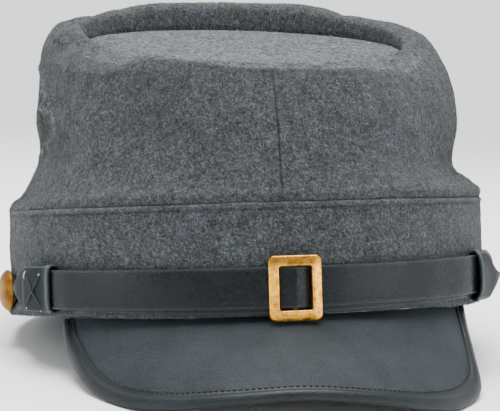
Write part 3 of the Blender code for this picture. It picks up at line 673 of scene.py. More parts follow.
def wool_material(name, level, seed=0.0, tint=(1.0, 1.0, 1.0)):
    """Felted, heathered wool: crossing fibre streaks, dark specks and faint green and blue patches."""
    material, tree, shader = new_material(name)
    coordinates = tree.nodes.new("ShaderNodeTexCoord").outputs
    space = mapped(tree, coordinates["Object"], Location=(seed, 2 * seed, -seed))
    cloud = noise(tree, space, 150, 3.0, 0.6)
    mottle = noise(tree, space, 430, 3.0, 0.6)
    flecks = noise(tree, space, 1150, 2.0, 0.6)
    streaks = []
    for angle, along, across in ((24, 520, 2300), (-38, 560, 2200), (83, 540, 2400), (-4, 500, 2500)):
        turned = mapped(tree, coordinates["UV"], Rotation=(0, 0, math.radians(angle)))
        drawn = mapped(tree, turned, Scale=(along, across, 1))
        streaks.append(noise(tree, drawn, 1.0, 2.0, 0.55))
    fibres = streaks[0]
    for streak in streaks[1:]:
        fibres = math_node(tree, "MAXIMUM", fibres, streak)
    dark = math_node(tree, "MINIMUM", streaks[0], streaks[2])
    parts = ((mottle, 0.42), (cloud, 0.26), (flecks, 0.60), (fibres, 0.95), (dark, 0.55))
    whole = sum(weight for _, weight in parts)
    mean = math_node(tree, "MULTIPLY", weighted(tree, 0.0, *parts), 1 / whole)
    greys = ((0.44, 0.018), (0.50, 0.052), (0.56, 0.112), (0.64, 0.230))
    tone = ramp(tree, mean, *((place, wool_grey(value * level)) for place, value in greys))
    green, blue = (np.multiply(cast, tint) for cast in ((0.99, 1.02, 0.96), (0.97, 0.99, 1.05)))
    cast = ramp(tree, noise(tree, space, 75, 2.0, 0.5), (0.40, green), (0.60, blue))
    colour = mix_colour(tree, 1.0, tone, cast, "MULTIPLY")
    # The shade layer paints light and shade into the colour: a half leaves it as it is, less darkens it,
    # more lightens it.
    painted_light_factor = ramp(tree, shade_layer(tree), (0.0, (0.0, 0.0, 0.0)), (1.0, (2.0, 2.0, 2.0)))
    colour = mix_colour(tree, 1.0, colour, painted_light_factor, "MULTIPLY")
    set_inputs(tree, shader, Base_Color=colour, Roughness=0.95, Specular_IOR_Level=0.12)
    set_inputs(tree, shader, Sheen_Weight=0.08, Sheen_Roughness=0.6)
    add_bump(tree, shader, weighted(tree, 0.0, (flecks, 0.5), (fibres, 0.9), (mottle, 0.5)), 1.0, 0.0006)
    return material


def nap_material(name, level):
    """Loose wool fibres, each its own shade."""
    material, tree, shader = new_material(name)
    greys = ((0.0, 0.016), (0.5, 0.085), (0.85, 0.19), (1.0, 0.38))
    tone = ramp(tree, shade_layer(tree), *((place, wool_grey(value * level)) for place, value in greys))
    set_inputs(tree, shader, Base_Color=tone, Roughness=0.85, Specular_IOR_Level=0.2)
    return material


def leather_material(name, tone, paler, roughness, grain, gloss):
    """Smooth black-blue leather with a fine grain and cloudy sheen. The shade layer makes its edges paler:
    wear, and on the strap and keepers also a painted highlight.
    """
    material, tree, shader = new_material(name)
    space = tree.nodes.new("ShaderNodeTexCoord").outputs["Object"]
    cloud = noise(tree, space, 75, 4.0, 0.62)
    fine = noise(tree, space, 1300, 4.0, 0.65)
    cells = add_node(tree, "ShaderNodeTexVoronoi", Vector=space, Scale=1300.0).outputs["Distance"]
    base = ramp(tree, cloud, (0.3, times(0.78, tone)), (0.7, times(1.25, tone)))
    speck = ramp(tree, fine, (0.3, (0.62, 0.62, 0.62)), (0.7, (1.42, 1.42, 1.42)))
    base = mix_colour(tree, 1.0, base, speck, "MULTIPLY")
    patches = ramp(tree, fine, (0.2, (0.4, 0.4, 0.4)), (0.7, (1.0, 1.0, 1.0)))
    # Toward the paler colour where the shade layer says: wear, and on the strap and keepers also a painted
    # highlight.
    paler_share = math_node(tree, "MULTIPLY", shade_layer(tree), patches)
    base = mix_colour(tree, paler_share, base, (*paler, 1.0))
    rough = weighted(tree, roughness - 0.21, (cloud, 0.30), (fine, 0.12))
    set_inputs(tree, shader, Base_Color=base, Roughness=rough, Specular_IOR_Level=gloss)
    add_bump(tree, shader, weighted(tree, 0.0, (fine, 0.8), (cells, 0.7)), 0.45 * grain, 0.00025)
    return material


def brass_material(name, tone, rough, mottle):
    """Aged brass: golden, with orange and brown tarnish and small pits. The shade layer darkens it toward
    brown: tarnish, and on the buckle's top bar painted shade.
    """
    material, tree, shader = new_material(name)
    space = tree.nodes.new("ShaderNodeTexCoord").outputs["Object"]
    cloud = noise(tree, space, 330 * mottle, 5.0, 0.65)
    fine = noise(tree, space, 1500, 4.0, 0.65)
    golds = (
        (0.30, (0.28, 0.090, 0.005)),
        (0.42, (0.64, 0.270, 0.024)),
        (0.55, (0.94, 0.475, 0.048)),
        (0.70, (1.00, 0.620, 0.105)),
    )
    base = ramp(tree, cloud, *((place, times(tone, gold)) for place, gold in golds))
    pits = ramp(tree, fine, (0.32, (0.22, 0.13, 0.06)), (0.42, (1.0, 1.0, 1.0)))
    base = mix_colour(tree, 1.0, base, pits, "MULTIPLY")
    base = mix_colour(tree, shade_layer(tree), base, (0.20, 0.085, 0.012, 1.0))
    set_inputs(tree, shader, Base_Color=base, Metallic=0.9, Roughness=weighted(tree, rough, (fine, 0.34)))
    add_bump(tree, shader, weighted(tree, fine, (cloud, 0.7)), 0.5, 0.00020)
    return material


def thread_material(name, colour):
    """Thread, darker and lighter by fits."""
    material, tree, shader = new_material(name)
    fine = noise(tree, tree.nodes.new("ShaderNodeTexCoord").outputs["Object"], 2500, 2.0, 0.6)
    tone = ramp(tree, fine, (0.3, times(0.6, colour)), (0.7, times(1.4, colour)))
    set_inputs(tree, shader, Base_Color=tone, Roughness=0.7)
    return material


# --- wool pieces


def nap(
    name, points, normals, count, seed, node, material,
    length=0.0016, width=0.00014, lift=0.26, hang=0.0, painted_light=None,
):
    """Loose fibres scattered evenly over a grid of surface points."""
    random = np.random.default_rng(seed)
    corner = points[:-1, :-1]
    across = np.cross(points[1:, :-1] - corner, points[:-1, 1:] - corner)
    area = np.linalg.norm(across, axis=-1).ravel()
    pick = np.searchsorted(np.cumsum(area) / area.sum(), random.random(count))
    row, column = np.unravel_index(np.minimum(pick, len(area) - 1), corner.shape[:2])
    u = random.random((count, 1))
    v = random.random((count, 1))

    def blend(grid):
        low = grid[row, column] * (1 - u) + grid[row, column + 1] * u
        high = grid[row + 1, column] * (1 - u) + grid[row + 1, column + 1] * u
        return low * (1 - v) + high * v

    normal = unit(blend(normals))
    spread = unit(random.normal(size=(count, 3)))
    tangent = unit(spread - normal * (spread * normal).sum(axis=-1, keepdims=True))
    rise = lift * random.random((count, 1)) ** 2
    heading = unit(tangent + normal * rise + np.array([0.0, 0.0, -hang]))
    bend = random.normal(size=(count, 3)) * FIBRE_BEND
    further = unit(heading + bend - normal * (0.1 + (bend * normal).sum(axis=-1, keepdims=True) * 0.8))
    reach = length * random.uniform(*FIBRE_LENGTHS, (count, 1))
    start = blend(points) + normal * FIBRE_ROOT
    middle = start + heading * reach * 0.5
    tip = middle + further * reach * 0.5
    roll = unit(random.normal(size=(count, 3)) * 0.5 + normal)
    side = unit(np.cross(heading, roll)) * width * random.uniform(*FIBRE_WIDTHS, (count, 1)) / 2
    corners = np.stack([start - side * 0.5, start + side * 0.5, middle + side, middle - side, tip], axis=1)
    first = np.arange(count)[:, None] * 5
    faces = [first + np.array([0, 1, 2, 3]), first + np.array([3, 2, 4])]
    shade = random.beta(*FIBRE_SHADES, count)
    # The fibres take the painted light and shade of the surface under them.
    if painted_light is not None:
        shade = np.clip(shade * 2 * blend(painted_light[..., None])[:, 0], 0, 1)
    corners = corners.reshape(-1, 3)
    sunk = np.maximum(FLOOR_CLEARANCE - stood(corners)[:, 2], 0)
    corners += sunk[:, None] * STAND[2, :3]
    add_mesh(name, corners, faces, material, node, np.repeat(shade, 5), replaces=False)


def spaced(start, end, count, crowding):
    """Values from start to end that lie closer together near both ends."""
    t = np.linspace(0, 1, count)
    return start + (end - start) * (t - crowding * np.sin(2 * math.pi * t) / (2 * math.pi))


def facing(azimuth, least):
    """One at the front and back, and least at the sides, where a groove would notch the outline."""
    return least + (1 - least) * np.clip((np.abs(np.cos(azimuth)) - 0.15) * 3, 0, 1)


def crown_painted_light(points, place, azimuth):
    """Painted light and shade on the wool, a half everywhere: painted shade in hollows and at the sides,
    painted highlight on ridges and at the front past the roll.
    """
    below_roll = place < CROWN_KNOTS[ROLL_ROW]
    past_roll = place - CROWN_KNOTS[ROLL_ROW]
    # Painted shade: the sides below the roll are darker.
    beside = share_of(np.degrees(np.abs(azimuth)), 48, 64) * share_of(place, 0.006, 0.016)
    painted_light = 0.5 - 0.06 * beside * below_roll
    for line in PAINTED_LIGHTS:
        distance = distance_to(line, azimuth, points[..., 2])
        painted_light = painted_light + line.amount * bell(distance, line.width) * below_roll
    # Painted light at the front past the roll row, where the wool faces up toward the top, with a painted
    # highlight just past the roll.
    front = np.clip((np.cos(azimuth) - 0.30) * 2.8, 0, 1)
    paler = 0.24 * share_of(past_roll, 0.0005, 0.0020) + relief(past_roll, (0.14, 0.0012, 0.0010))
    return np.clip(painted_light + front * paler, 0.1, 1.0)


def make_crown(name, start, end, seed):
    """A side panel between two azimuths, with its seams, its felt and its loose fibres."""
    low = np.linspace(0, CROWN_FINE, CROWN_STEPS[0], endpoint=False)
    place = np.concatenate([low, np.linspace(CROWN_FINE, CROWN_KNOTS[-1], CROWN_STEPS[1])])[:, None]
    place, azimuth = np.broadcast_arrays(place, spaced(start, end, CROWN_COLUMNS, SEAM_CROWDING)[None, :])
    outer = crown_surface(place, azimuth)
    radius = np.hypot(outer[..., 0], outer[..., 1])
    from_seam = np.minimum(azimuth - start, end - azimuth) * radius
    firm = 1 - 0.6 * share_of(place, 0.04, 0.07)
    soft = uneven(outer, (0.00028, 0.0085, seed), (0.00014, 0.0032, seed + 1))
    groove = firm * relief(from_seam, (-0.00045, 0, 0.00045), (0.00010, 0.0016, 0.0010))
    tuck = facing(azimuth, 0.08) * relief(place, (-0.00030, 0, 0.0009), (0.00035, 0.0032, 0.0018))
    rim = relief(place - CROWN_KNOTS[-2], (0.00040, -0.0011, 0.0007))
    outer = outer + grid_normals(outer) * (soft + groove + tuck + rim)[..., None]
    outer[..., 2] -= 0.00022 * bell(place, 0.0006)
    normal = grid_normals(outer)
    inner = outer - normal * (CROWN_WALL - 0.0002)
    inner[0, :, 2] = outer[0, :, 2]
    points, faces, thin = wall_mesh(outer, inner, 4)
    uv = np.stack([azimuth * FOLD_RADIUS, place], axis=-1)
    uv = np.concatenate([uv.reshape(-1, 2), uv[thin].reshape(-1, 2)])
    # Painted shade along the seam to the band and, fading with height, along the seams between the panels.
    painted_light = crown_painted_light(outer, place, azimuth) + relief(place, (-0.06, 0, 0.0007))
    painted_light = painted_light + firm * relief(from_seam, (-0.16, 0, 0.0005))
    shade = np.concatenate([painted_light.ravel(), painted_light[thin].ravel()])
    add_mesh(f"{name}_cloth", points, faces, WOOL, name, shade, uv)
    nap(f"{name}_nap", outer, normal, CROWN_FIBRES, seed + 5, name, NAP, painted_light=painted_light)


def band_outside(height, azimuth):
    """The band's outer side: felt, the fold below its top, the dents of the tabs, and the hem."""
    rings = np.array(BAND_RINGS)
    ring_heights = rings[:, 4:].mean(axis=1)
    outer = ring_points(smooth_through(ring_heights, rings, height[:, 0])[:, None, :], azimuth)
    normal = grid_normals(outer, True)
    soft = uneven(outer, (0.00020, 0.0080, 31), (0.00013, 0.0030, 32))
    soft = soft * (1 - 0.8 * np.exp(-(((height - 0.0105) / 0.009) ** 4)))  # firm under the strap
    fold = ((0.00055, 0.0010, 0.0007), (-0.0008, 0, 0.00035), (-0.00028, 0.0022, 0.0005))
    fold = facing(azimuth, 0.05) * relief(BAND_HEIGHT - height, *fold)
    outer = outer + normal * (soft + fold)[..., None]
    turn = np.degrees(np.abs(azimuth))
    dent_end = 2 * BUTTON_AZIMUTH - TAB_DENT_FROM
    along = share_of(turn - TAB_DENT_FROM, 0, TAB_DENT_RAMP) * share_of(dent_end - turn, 0, TAB_DENT_RAMP)
    for keeper in KEEPERS:
        across = np.exp(-(((height - keeper.button_z) / TAB_DENT_HALF) ** 6))
        dent = TAB_DENT * (keeper.side * azimuth > 0) * along * across
        outer = outer - normal * dent[..., None]
    lifted = np.where(azimuth < 0, HEM_LIFT_LEFT, HEM_LIFT_RIGHT)
    lifted = lifted * bell(turn - HEM_LIFT_AT, HEM_LIFT_REACH)
    wavy = 0.00025 * lumps(outer[0] * (1, 1, 0), 0.0045, 33)
    outer[..., 2] += (lifted - wavy[None, :]) * np.exp(-((height - height[0]) / 0.0014))
    return outer


def make_band():
    """The band, whose hem turns in under it, with loose fibres and a fringe of them at the hem."""
    azimuth = whole_turn(BAND_COLUMNS, -math.pi)[None, :]
    rings = np.array(BAND_RINGS)
    heights = rings[:, 4:].mean(axis=1)
    low = np.linspace(heights[0], BAND_FINE, BAND_STEPS[0], endpoint=False)
    middle = np.linspace(BAND_FINE, BAND_HEIGHT - BAND_FINE, BAND_STEPS[1], endpoint=False)
    high = np.linspace(BAND_HEIGHT - BAND_FINE, BAND_HEIGHT, BAND_STEPS[2])
    place = np.concatenate([low, middle, high])[:, None]
    outer = band_outside(place * np.ones_like(azimuth), azimuth)
    bend = np.linspace(math.pi, 0, 9)[:-1, None, None]
    across = (1 - np.cos(bend)) / 2
    turned = outer[0] - unit(outer[0] * (1, 1, 0)) * BAND_WALL * across
    turned[..., 2] += (HEM_SLANT * across - 0.14 * BAND_WALL * np.sin(bend))[..., 0]
    outside = np.concatenate([turned, outer])
    outside[..., 2] += np.maximum(FLOOR_CLEARANCE - stood(outside)[..., 2], 0)
    shrunk = smooth_through(heights, rings, np.linspace(0.001, BAND_HEIGHT, 14))[:, None, :]
    shrunk[..., :4] -= BAND_WALL
    shrunk[0, ..., 4:] += HEM_SLANT
    profile = np.concatenate([ring_points(shrunk, azimuth)[::-1], outside])
    top = (len(profile) - 1) * BAND_COLUMNS
    column = np.arange(BAND_COLUMNS)
    right = (column + 1) % BAND_COLUMNS
    faces = [grid_quads(len(profile), BAND_COLUMNS, True)]
    faces.append(np.stack([top + column, top + right, right, column], axis=-1))
    run = lengths_along(profile[:, 0])[:, None]
    uv = np.stack(np.broadcast_arrays(azimuth * BAND_RADIUS, run), axis=-1)
    shade = np.full(profile.shape[:2], 0.5)
    # Painted highlight along the fold's ridge just below the top, and painted shade in the groove under
    # it.
    shade[-len(outer) :] += relief(BAND_HEIGHT - place, (0.12, 0.0011, 0.0006), (-0.12, 0.0023, 0.0005))
    add_mesh("band_cloth", profile, faces, WOOL, "band", shade, uv)
    wide = np.concatenate([outside, outside[:, :1]], axis=1)
    normal = grid_normals(wide)
    nap("band_nap", wide[3:], normal[3:], BAND_FIBRES, 37, "band", NAP, 0.0013)
    fringe = {"length": 0.0009, "width": 0.00013, "lift": 0.5, "hang": 0.5}
    nap("band_fringe", wide[2:14], normal[2:14], FRINGE_FIBRES, 38, "band", NAP, **fringe)


def make_top():
    """The sunken top: a soft disc whose edge curls down a little where it meets the roll."""
    azimuth = whole_turn(TOP_COLUMNS, -math.pi)[None, :]
    bend = np.linspace(0, 1, 5)
    flat = np.linspace(0.0008, TOP_RADIUS - 2 * TOP_CURL, TOP_STEPS)
    radii = np.concatenate([flat, TOP_RADIUS - TOP_CURL * (1 - bend) ** 2 - 0.00001])
    depth = np.concatenate([np.zeros(TOP_STEPS), TOP_CURL * bend**2])
    upper = ring_points(np.array(top_ring(radii, depth)).T[:, None], azimuth)
    from_edge = (TOP_RADIUS - radii)[:, None]
    soft = uneven(upper, (0.00045, 0.016, 51), (0.00020, 0.0035, 52))
    upper[..., 2] += (soft + 0.0004 * from_edge / TOP_RADIUS) * share_of(from_edge, 0, 0.006)
    low_radii = radii[::6][::-1]
    low_radii = np.concatenate([radii[-1:], low_radii[low_radii < radii[-1] - 1e-4]])
    lower = ring_points(np.array(top_ring(low_radii, TOP_THICKNESS)).T[:, None], azimuth)
    points, faces = tube_mesh(np.concatenate([upper, lower])[::-1, ::-1])
    reach = np.concatenate([radii, low_radii])[::-1, None]
    uv = np.stack([reach * np.sin(azimuth[:, ::-1]), -reach * np.cos(azimuth[:, ::-1])], axis=-1)
    shade = np.full(len(points), 0.5)
    add_mesh("crown_top_cloth", points, faces, WOOL_TOP_LIT, "crown_top", shade, uv)
    wide = np.concatenate([upper, upper[:, :1]], axis=1)[::-1]
    nap("crown_top_nap", wide, grid_normals(wide), TOP_FIBRES, 57, "crown_top", NAP_TOP_LIT)


# --- peak


def peak_edge(share):
    knots = lengths_along(PEAK_EDGE)
    return smooth_through(knots / knots[-1], PEAK_EDGE, share)


def peak_root_y(x):
    """Where the peak starts under the band's front hem."""
    hem = BAND_RINGS[0]
    reach = np.where(x > 0, hem.right, hem.left) - PEAK_ROOT_INSET
    return -(hem.front - PEAK_ROOT_INSET) * np.sqrt(1 - np.clip(x / reach, -1, 1) ** 2)


def peak_height(x, y):
    """The middle of the leather, arched between the root and the edge."""
    edge = peak_edge(np.linspace(0, 1, EDGE_SAMPLES))
    edge_y = np.interp(x, edge[:, 0], edge[:, 1])
    edge_z = np.interp(x, edge[:, 0], edge[:, 2])
    root_y = peak_root_y(x)
    place = (y - root_y) / (edge_y - root_y)
    toward_end = np.abs(x / PEAK_EDGE[0, 0]) ** 6
    root_z = PEAK_ROOT_Z + (PEAK_END_Z - PEAK_ROOT_Z) * toward_end
    arch = 4 * place * (1 - place) * PEAK_ARCH * (1 - toward_end)
    return root_z + (edge_z - root_z) * place + arch


def peak_normals(x, y):
    step = 0.0004
    slope_x = (peak_height(x + step, y) - peak_height(x - step, y)) / (2 * step)
    slope_y = (peak_height(x, y + step) - peak_height(x, y - step)) / (2 * step)
    return unit(np.stack([-slope_x, -slope_y, np.ones_like(slope_x)], axis=-1))


def peak_rim():
    """Points along the edge, closer together near its ends, and the level directions in from them."""
    turn = np.linspace(-1, 1, RIM_STEPS)
    edge = peak_edge((1 + (turn + np.sin(turn * math.pi / 2)) / 2) / 2)
    along = unit(np.gradient(edge[:, :2], axis=0))
    return edge, np.stack([-along[:, 1], along[:, 0]], axis=-1)


def rim_points(inset):
    """Points of the peak at an inset from its edge. Next to the edge it runs on straight."""
    edge, inward = peak_rim()
    place = edge[:, :2] + inward * inset[:, None]
    fold = edge[:, :2] + inward * RIM_INSET
    rise = peak_height(fold[:, 0], fold[:, 1]) - edge[:, 2]
    flat = edge[:, 2] + rise * inset / RIM_INSET
    height = np.where(inset < RIM_INSET, flat, peak_height(place[:, 0], place[:, 1]))
    return np.column_stack([place, height])


def rim_normals():
    flat = np.zeros(RIM_STEPS)
    across = rim_points(flat + RIM_INSET) - rim_points(flat)
    return unit(np.cross(np.gradient(peak_rim()[0], axis=0), across))


def binding_reach():
    """The binding's width along the edge, less where the peak's ends are narrower."""
    edge, inward = peak_rim()
    widths = np.linspace(0, BINDING_WIDTH, EDGE_SAMPLES)
    across = edge[:, None, :2] + inward[:, None, :] * widths[None, :, None]
    outside = across[..., 1] < peak_root_y(across[..., 0])
    reach = np.maximum(BINDING_WIDTH * outside.mean(axis=1), BINDING_LEAST)
    return np.convolve(np.pad(reach, 6, mode="edge"), np.ones(13) / 13, mode="valid")


def make_peak():
    """The leather plate, from just inside its edge to its root under the band."""
    rim = rim_points(np.full(RIM_STEPS, PEAK_EDGE_INSET))
    fold = rim_points(binding_reach() + PEAK_MARGIN)
    root_y = np.maximum(peak_root_y(fold[:, 0]), fold[:, 1] + PEAK_LEAST_DEPTH)
    y = root_y + (fold[:, 1] - root_y) * np.linspace(1, 0, PEAK_STEPS)[:, None]
    x = np.broadcast_to(fold[:, 0], y.shape)
    middle = np.stack([x, y, peak_height(x, y)], axis=-1)
    normal = peak_normals(x, y)
    middle[0] = fold
    normal[0] = rim_normals()
    middle = np.concatenate([rim[None], middle])
    normal = np.concatenate([normal[:1], normal])
    from_root = np.abs(middle[..., 1] - root_y)
    soft = uneven(middle, (0.00022, 0.016, 71), (0.00006, 0.005, 72)) * share_of(from_root, 0, 0.01)
    soft[:2] = 0
    upper = middle + normal * (soft + PEAK_THICKNESS / 2)[..., None]
    lower = middle + normal * (soft - PEAK_THICKNESS / 2)[..., None]
    points, faces, _ = wall_mesh(upper, lower, 3)
    add_mesh("peak_leather", points, faces, LEATHER_PEAK, "peak", np.zeros(len(points)))


def binding_side(lip):
    """Half of the binding's section: inset from the edge, height from the leather's middle, and how much
    paler it is.
    """
    plate = PEAK_THICKNESS / 2
    step = plate + 0.00036
    bead = plate + 0.00105
    inner = lip - 0.0010
    crest = np.minimum(0.0019, 0.62 * inner)
    side = [
        (lip, plate + 0.00003, 0.7),
        (lip - 0.00008, plate + 0.00022, 0.6),
        (lip - 0.00028, plate + 0.00034, 0.25),
        (lip - 0.0006, plate + 0.00030, 0.0),
        (inner, step, 0.0),
    ]
    for share in np.linspace(0.15, 1.0, 7):
        rise = (1 - math.cos(share * math.pi)) / 2
        side.append((inner + (crest - inner) * share, step + (bead - step) * rise, 0.0))
    for turn in np.linspace(0, math.pi / 2, 12)[1:]:
        side.append((crest * (1 - math.sin(turn)), bead * math.cos(turn) ** 0.9, 0.0))
    return side


def make_binding():
    """The strip that is folded over the peak's edge, and its stitches above and below."""
    lip = binding_reach()
    normal = rim_normals()
    bottom = np.full(RIM_STEPS, PEAK_EDGE_INSET - GAP)
    slot = PEAK_THICKNESS / 2 + GAP
    side = binding_side(lip)
    section = [(bottom, slot, 0.0), (bottom, -slot, 0.0)]
    section += [(inset, -height, edge_paleness) for inset, height, edge_paleness in side] + side[-2::-1]
    grid = np.stack([rim_points(inset) + normal * height for inset, height, _ in section], axis=1)
    edge_paleness = np.broadcast_to([edge_paleness for _, _, edge_paleness in section], grid.shape[:2])
    points, faces = tube_mesh(grid)
    add_mesh("peak_binding_leather", points, faces, LEATHER_EDGE_SHADED, "peak_binding", edge_paleness)
    line = rim_points(lip - STITCH_INSET)
    run = lengths_along(line)
    t = np.linspace(0, 1, 7)
    height = PEAK_THICKNESS / 2 + 0.00022 + 0.00026 * np.sin(math.pi * t) ** 0.6
    for tag, side in (("upper", 1), ("lower", -1)):
        paths = []
        for start in np.arange(STITCH_START, run[-1] - STITCH_STOP, STITCH_PITCH):
            at = start + t * STITCH_PITCH * STITCH_SHARE
            found = np.stack([np.interp(at, run, part) for part in (*line.T, *normal.T)], axis=-1)
            paths.append(found[:, :3] + unit(found[:, 3:]) * (side * height)[:, None])
        points, faces = cord_mesh(paths, STITCH_RADIUS)
        name = f"peak_stitches_{tag}"
        add_mesh(name, points, faces, THREAD, "peak_binding", replaces=False)


# --- strap and keepers


def strap_mid_z(azimuth, drop):
    """The height of the strap's middle, for a layer that drops below the other at the front."""
    rise = np.where(azimuth < 0, STRAP_RISE_LEFT, STRAP_RISE_RIGHT)
    span = np.where(azimuth < 0, UNDER_DROP_SPAN_LEFT, UNDER_DROP_SPAN_RIGHT)
    return STRAP_MID_Z + rise * (azimuth / LIFT_TO) ** 2 - drop * np.clip(1 - (azimuth / span) ** 2, 0, 1)


def make_strap(name, drop, back, hump, seed):
    """A layer of the strap, with round edges, a crease along each, and a hump over the buckle's bar."""
    azimuth = np.radians(np.linspace(STRAP_END_LEFT, STRAP_END_RIGHT, STRAP_STEPS))
    mid_z = strap_mid_z(np.degrees(azimuth), drop)
    lift = KEEPER_LIFT * eased(share_of(np.abs(np.degrees(azimuth)), LIFT_FROM, LIFT_TO))
    from_bar = (azimuth - math.asin(BUCKLE_X / STRAP_RING.right)) * STRAP_RING.front
    offset = back + lift + hump * np.clip(1 - np.hypot(from_bar, 0.0004) / BAR_HUMP_REACH, 0, 1)
    half = STRAP_WIDTH / 2
    edge = 0.00022
    # Paler at the rounded edges: partly wear, partly a painted highlight where the edges catch the light.
    side = [(0.0, edge - half, 0.0), (0.00008, 0.0001 - half, 0.3), (edge, -half, 0.5)]
    for turn in np.linspace(0, math.pi / 2, 5):
        depth = STRAP_THICKNESS - edge + edge * math.sin(turn)
        side.append((depth, edge - half - edge * math.cos(turn), 0.5))
    face = []
    for share in np.linspace(-1, 1, 16)[1:-1]:
        crease = 0.00010 * bell((1 - abs(share)) * half - 0.0009, 0.00025)
        face.append((STRAP_THICKNESS + 0.00012 * (1 - share**2) - crease, share * (half - edge), 0.0))
    section = side + face + [(depth, -height, edge_paleness) for depth, height, edge_paleness in side[::-1]]
    rows = []
    for depth, height, _ in section:
        point, outward = band_outline(azimuth, offset + depth)
        point[:, 2] = mid_z + height
        rows.append(point + outward * (0.00010 * lumps(point, 0.012, seed))[:, None])
    points, faces = tube_mesh(np.stack(rows, axis=1))
    edge_paleness = np.tile([edge_paleness for _, _, edge_paleness in section], (STRAP_STEPS, 1))
    add_mesh(f"{name}_leather", points, faces, LEATHER_STRAP, name, edge_paleness)


def keeper_row(place):
    return KeeperRow(*[np.interp(place, KEEPER_ROWS[:, 0], column) for column in KEEPER_ROWS.T])


def keeper_azimuth(keeper, place):
    tab_end = 2 * BUTTON_AZIMUTH - keeper.tip
    landmarks = (keeper.mouth, keeper.shoulder, keeper.tip, BUTTON_AZIMUTH, tab_end)
    return keeper.side * np.radians(np.interp(place, range(5), landmarks))


def keeper_round(keeper, place):
    """How much rounder the loop is toward its mouth, for the loop that stands open."""
    return MOUTH_ROUNDING * (keeper.side > 0) * (1 - share_of(place, 0, 1.1))


def keeper_slim(keeper, place, most):
    """How much thinner the left loop is toward its mouth."""
    return most * (keeper.side < 0) * bell(place, 0.7)


def keeper_section(azimuth, mid_z, half_height, back, front, rounding):
    """A rounded rectangle across the keeper."""
    turn = whole_turn(KEEPER_SIDES, math.pi / KEEPER_SIDES)
    across = np.sign(np.cos(turn)) * np.abs(np.cos(turn)) ** rounding
    up = np.sign(np.sin(turn)) * np.abs(np.sin(turn)) ** rounding
    offset = (back + front) / 2 + across * (front - back) / 2
    point, _ = band_outline(np.full(KEEPER_SIDES, azimuth), offset)
    point[:, 2] = mid_z + up * half_height
    return point


def make_keeper(keeper):
    """A loop with a pocket for the strap's end, which narrows to a tab under the side button."""
    runs = [np.linspace(0, 0.05, 5), np.linspace(0.05, 2.55, 60), np.linspace(2.55, 3.35, 10)]
    turn = whole_turn(KEEPER_SIDES, math.pi / KEEPER_SIDES)
    # Painted highlight along the top and bottom front edges, partly wear.
    edge_highlight_and_wear = 0.5 * bell(np.abs(np.sin(turn)) - 0.88, 0.06) * (np.cos(turn) > 0)
    sections = []
    edge_paleness = []
    for place in np.linspace(0, POCKET_DEPTH, POCKET_STEPS)[::-1]:
        row = keeper_row(place)
        front = row.pocket_front + row.flare * keeper.flare - keeper_slim(keeper, place, POCKET_SLIM)
        rounding = POCKET_ROUNDING + keeper_round(keeper, place)
        size = (row.pocket_half * keeper.growth, row.pocket_back, front)
        sections.append(keeper_section(keeper_azimuth(keeper, place), keeper.mid_z, *size, rounding))
        edge_paleness.append(0 * turn)
    for place in np.unique(np.concatenate(runs)):
        row = keeper_row(place)
        flare = row.flare * keeper.flare
        mid_z = np.interp(place, (2.0, 3.0), (keeper.mid_z, keeper.button_z))
        swell = relief(place, (0.00030, 0.10, 0.09), (-0.0004, 0, 0.02))
        half = row.half * keeper.growth + min(swell, 0.0002)
        front = row.front + flare + swell - keeper_slim(keeper, place, KEEPER_SLIM)
        rounding = OUTER_ROUNDING + keeper_round(keeper, place)
        azimuth = keeper_azimuth(keeper, place)
        section = keeper_section(azimuth, mid_z, half, row.back + flare, front, rounding)
        if keeper.side > 0:
            section[:, 2] -= relief(place, (0.0032, 1.5, 0.50)) * share_of(section[:, 2] - mid_z, 0, half)
        sections.append(section)
        # Paler at the mouth's rim and, on the left loop, along the edge where the tab starts: partly wear,
        # partly a painted highlight.
        corner = (keeper.side < 0) * relief(place, (0.35, 0.98, 0.045))
        edge_paleness.append(relief(place, (0.8, 0.06, 0.04)) + corner + edge_highlight_and_wear * (place < 2))
    points, faces = tube_mesh(np.array(sections)[:, :: -keeper.side])
    name = keeper.name
    edge_paleness = np.clip(edge_paleness, 0, 1)[:, :: -keeper.side]
    add_mesh(f"{name}_leather", points, faces, LEATHER_LOOP, name, edge_paleness)


def keeper_face(keeper, place, z, lift):
    """A point on the keeper's front face, at a place along it and a height above its middle."""
    row = keeper_row(place)
    front = row.front - keeper_slim(keeper, place, KEEPER_SLIM)
    up = np.clip(z / (row.half * keeper.growth), -0.999, 0.999)
    rounding = OUTER_ROUNDING + keeper_round(keeper, place)
    across = (1 - np.abs(up) ** (2 / rounding)) ** (rounding / 2)
    offset = (row.back + front) / 2 + row.flare * keeper.flare + across * (front - row.back) / 2 + lift
    point, _ = band_outline(keeper_azimuth(keeper, place), offset)
    point[..., 2] = keeper.mid_z + z
    return point


def add_thread(keeper, tag, ends, lift, bow, radius, material):
    """A thread on a keeper's face between two spots, each given by its place and its height."""
    (place, z), (to_place, to_z) = ends
    t = np.linspace(0, 1, len(lift))
    place = place + (to_place - place) * t + bow * np.sin(math.pi * t)
    points, faces = cord_mesh([keeper_face(keeper, place, z + (to_z - z) * t, lift)], radius, 8)
    name = f"{keeper.name}_{tag}"
    add_mesh(name, points, faces, material, keeper.name, replaces=False)


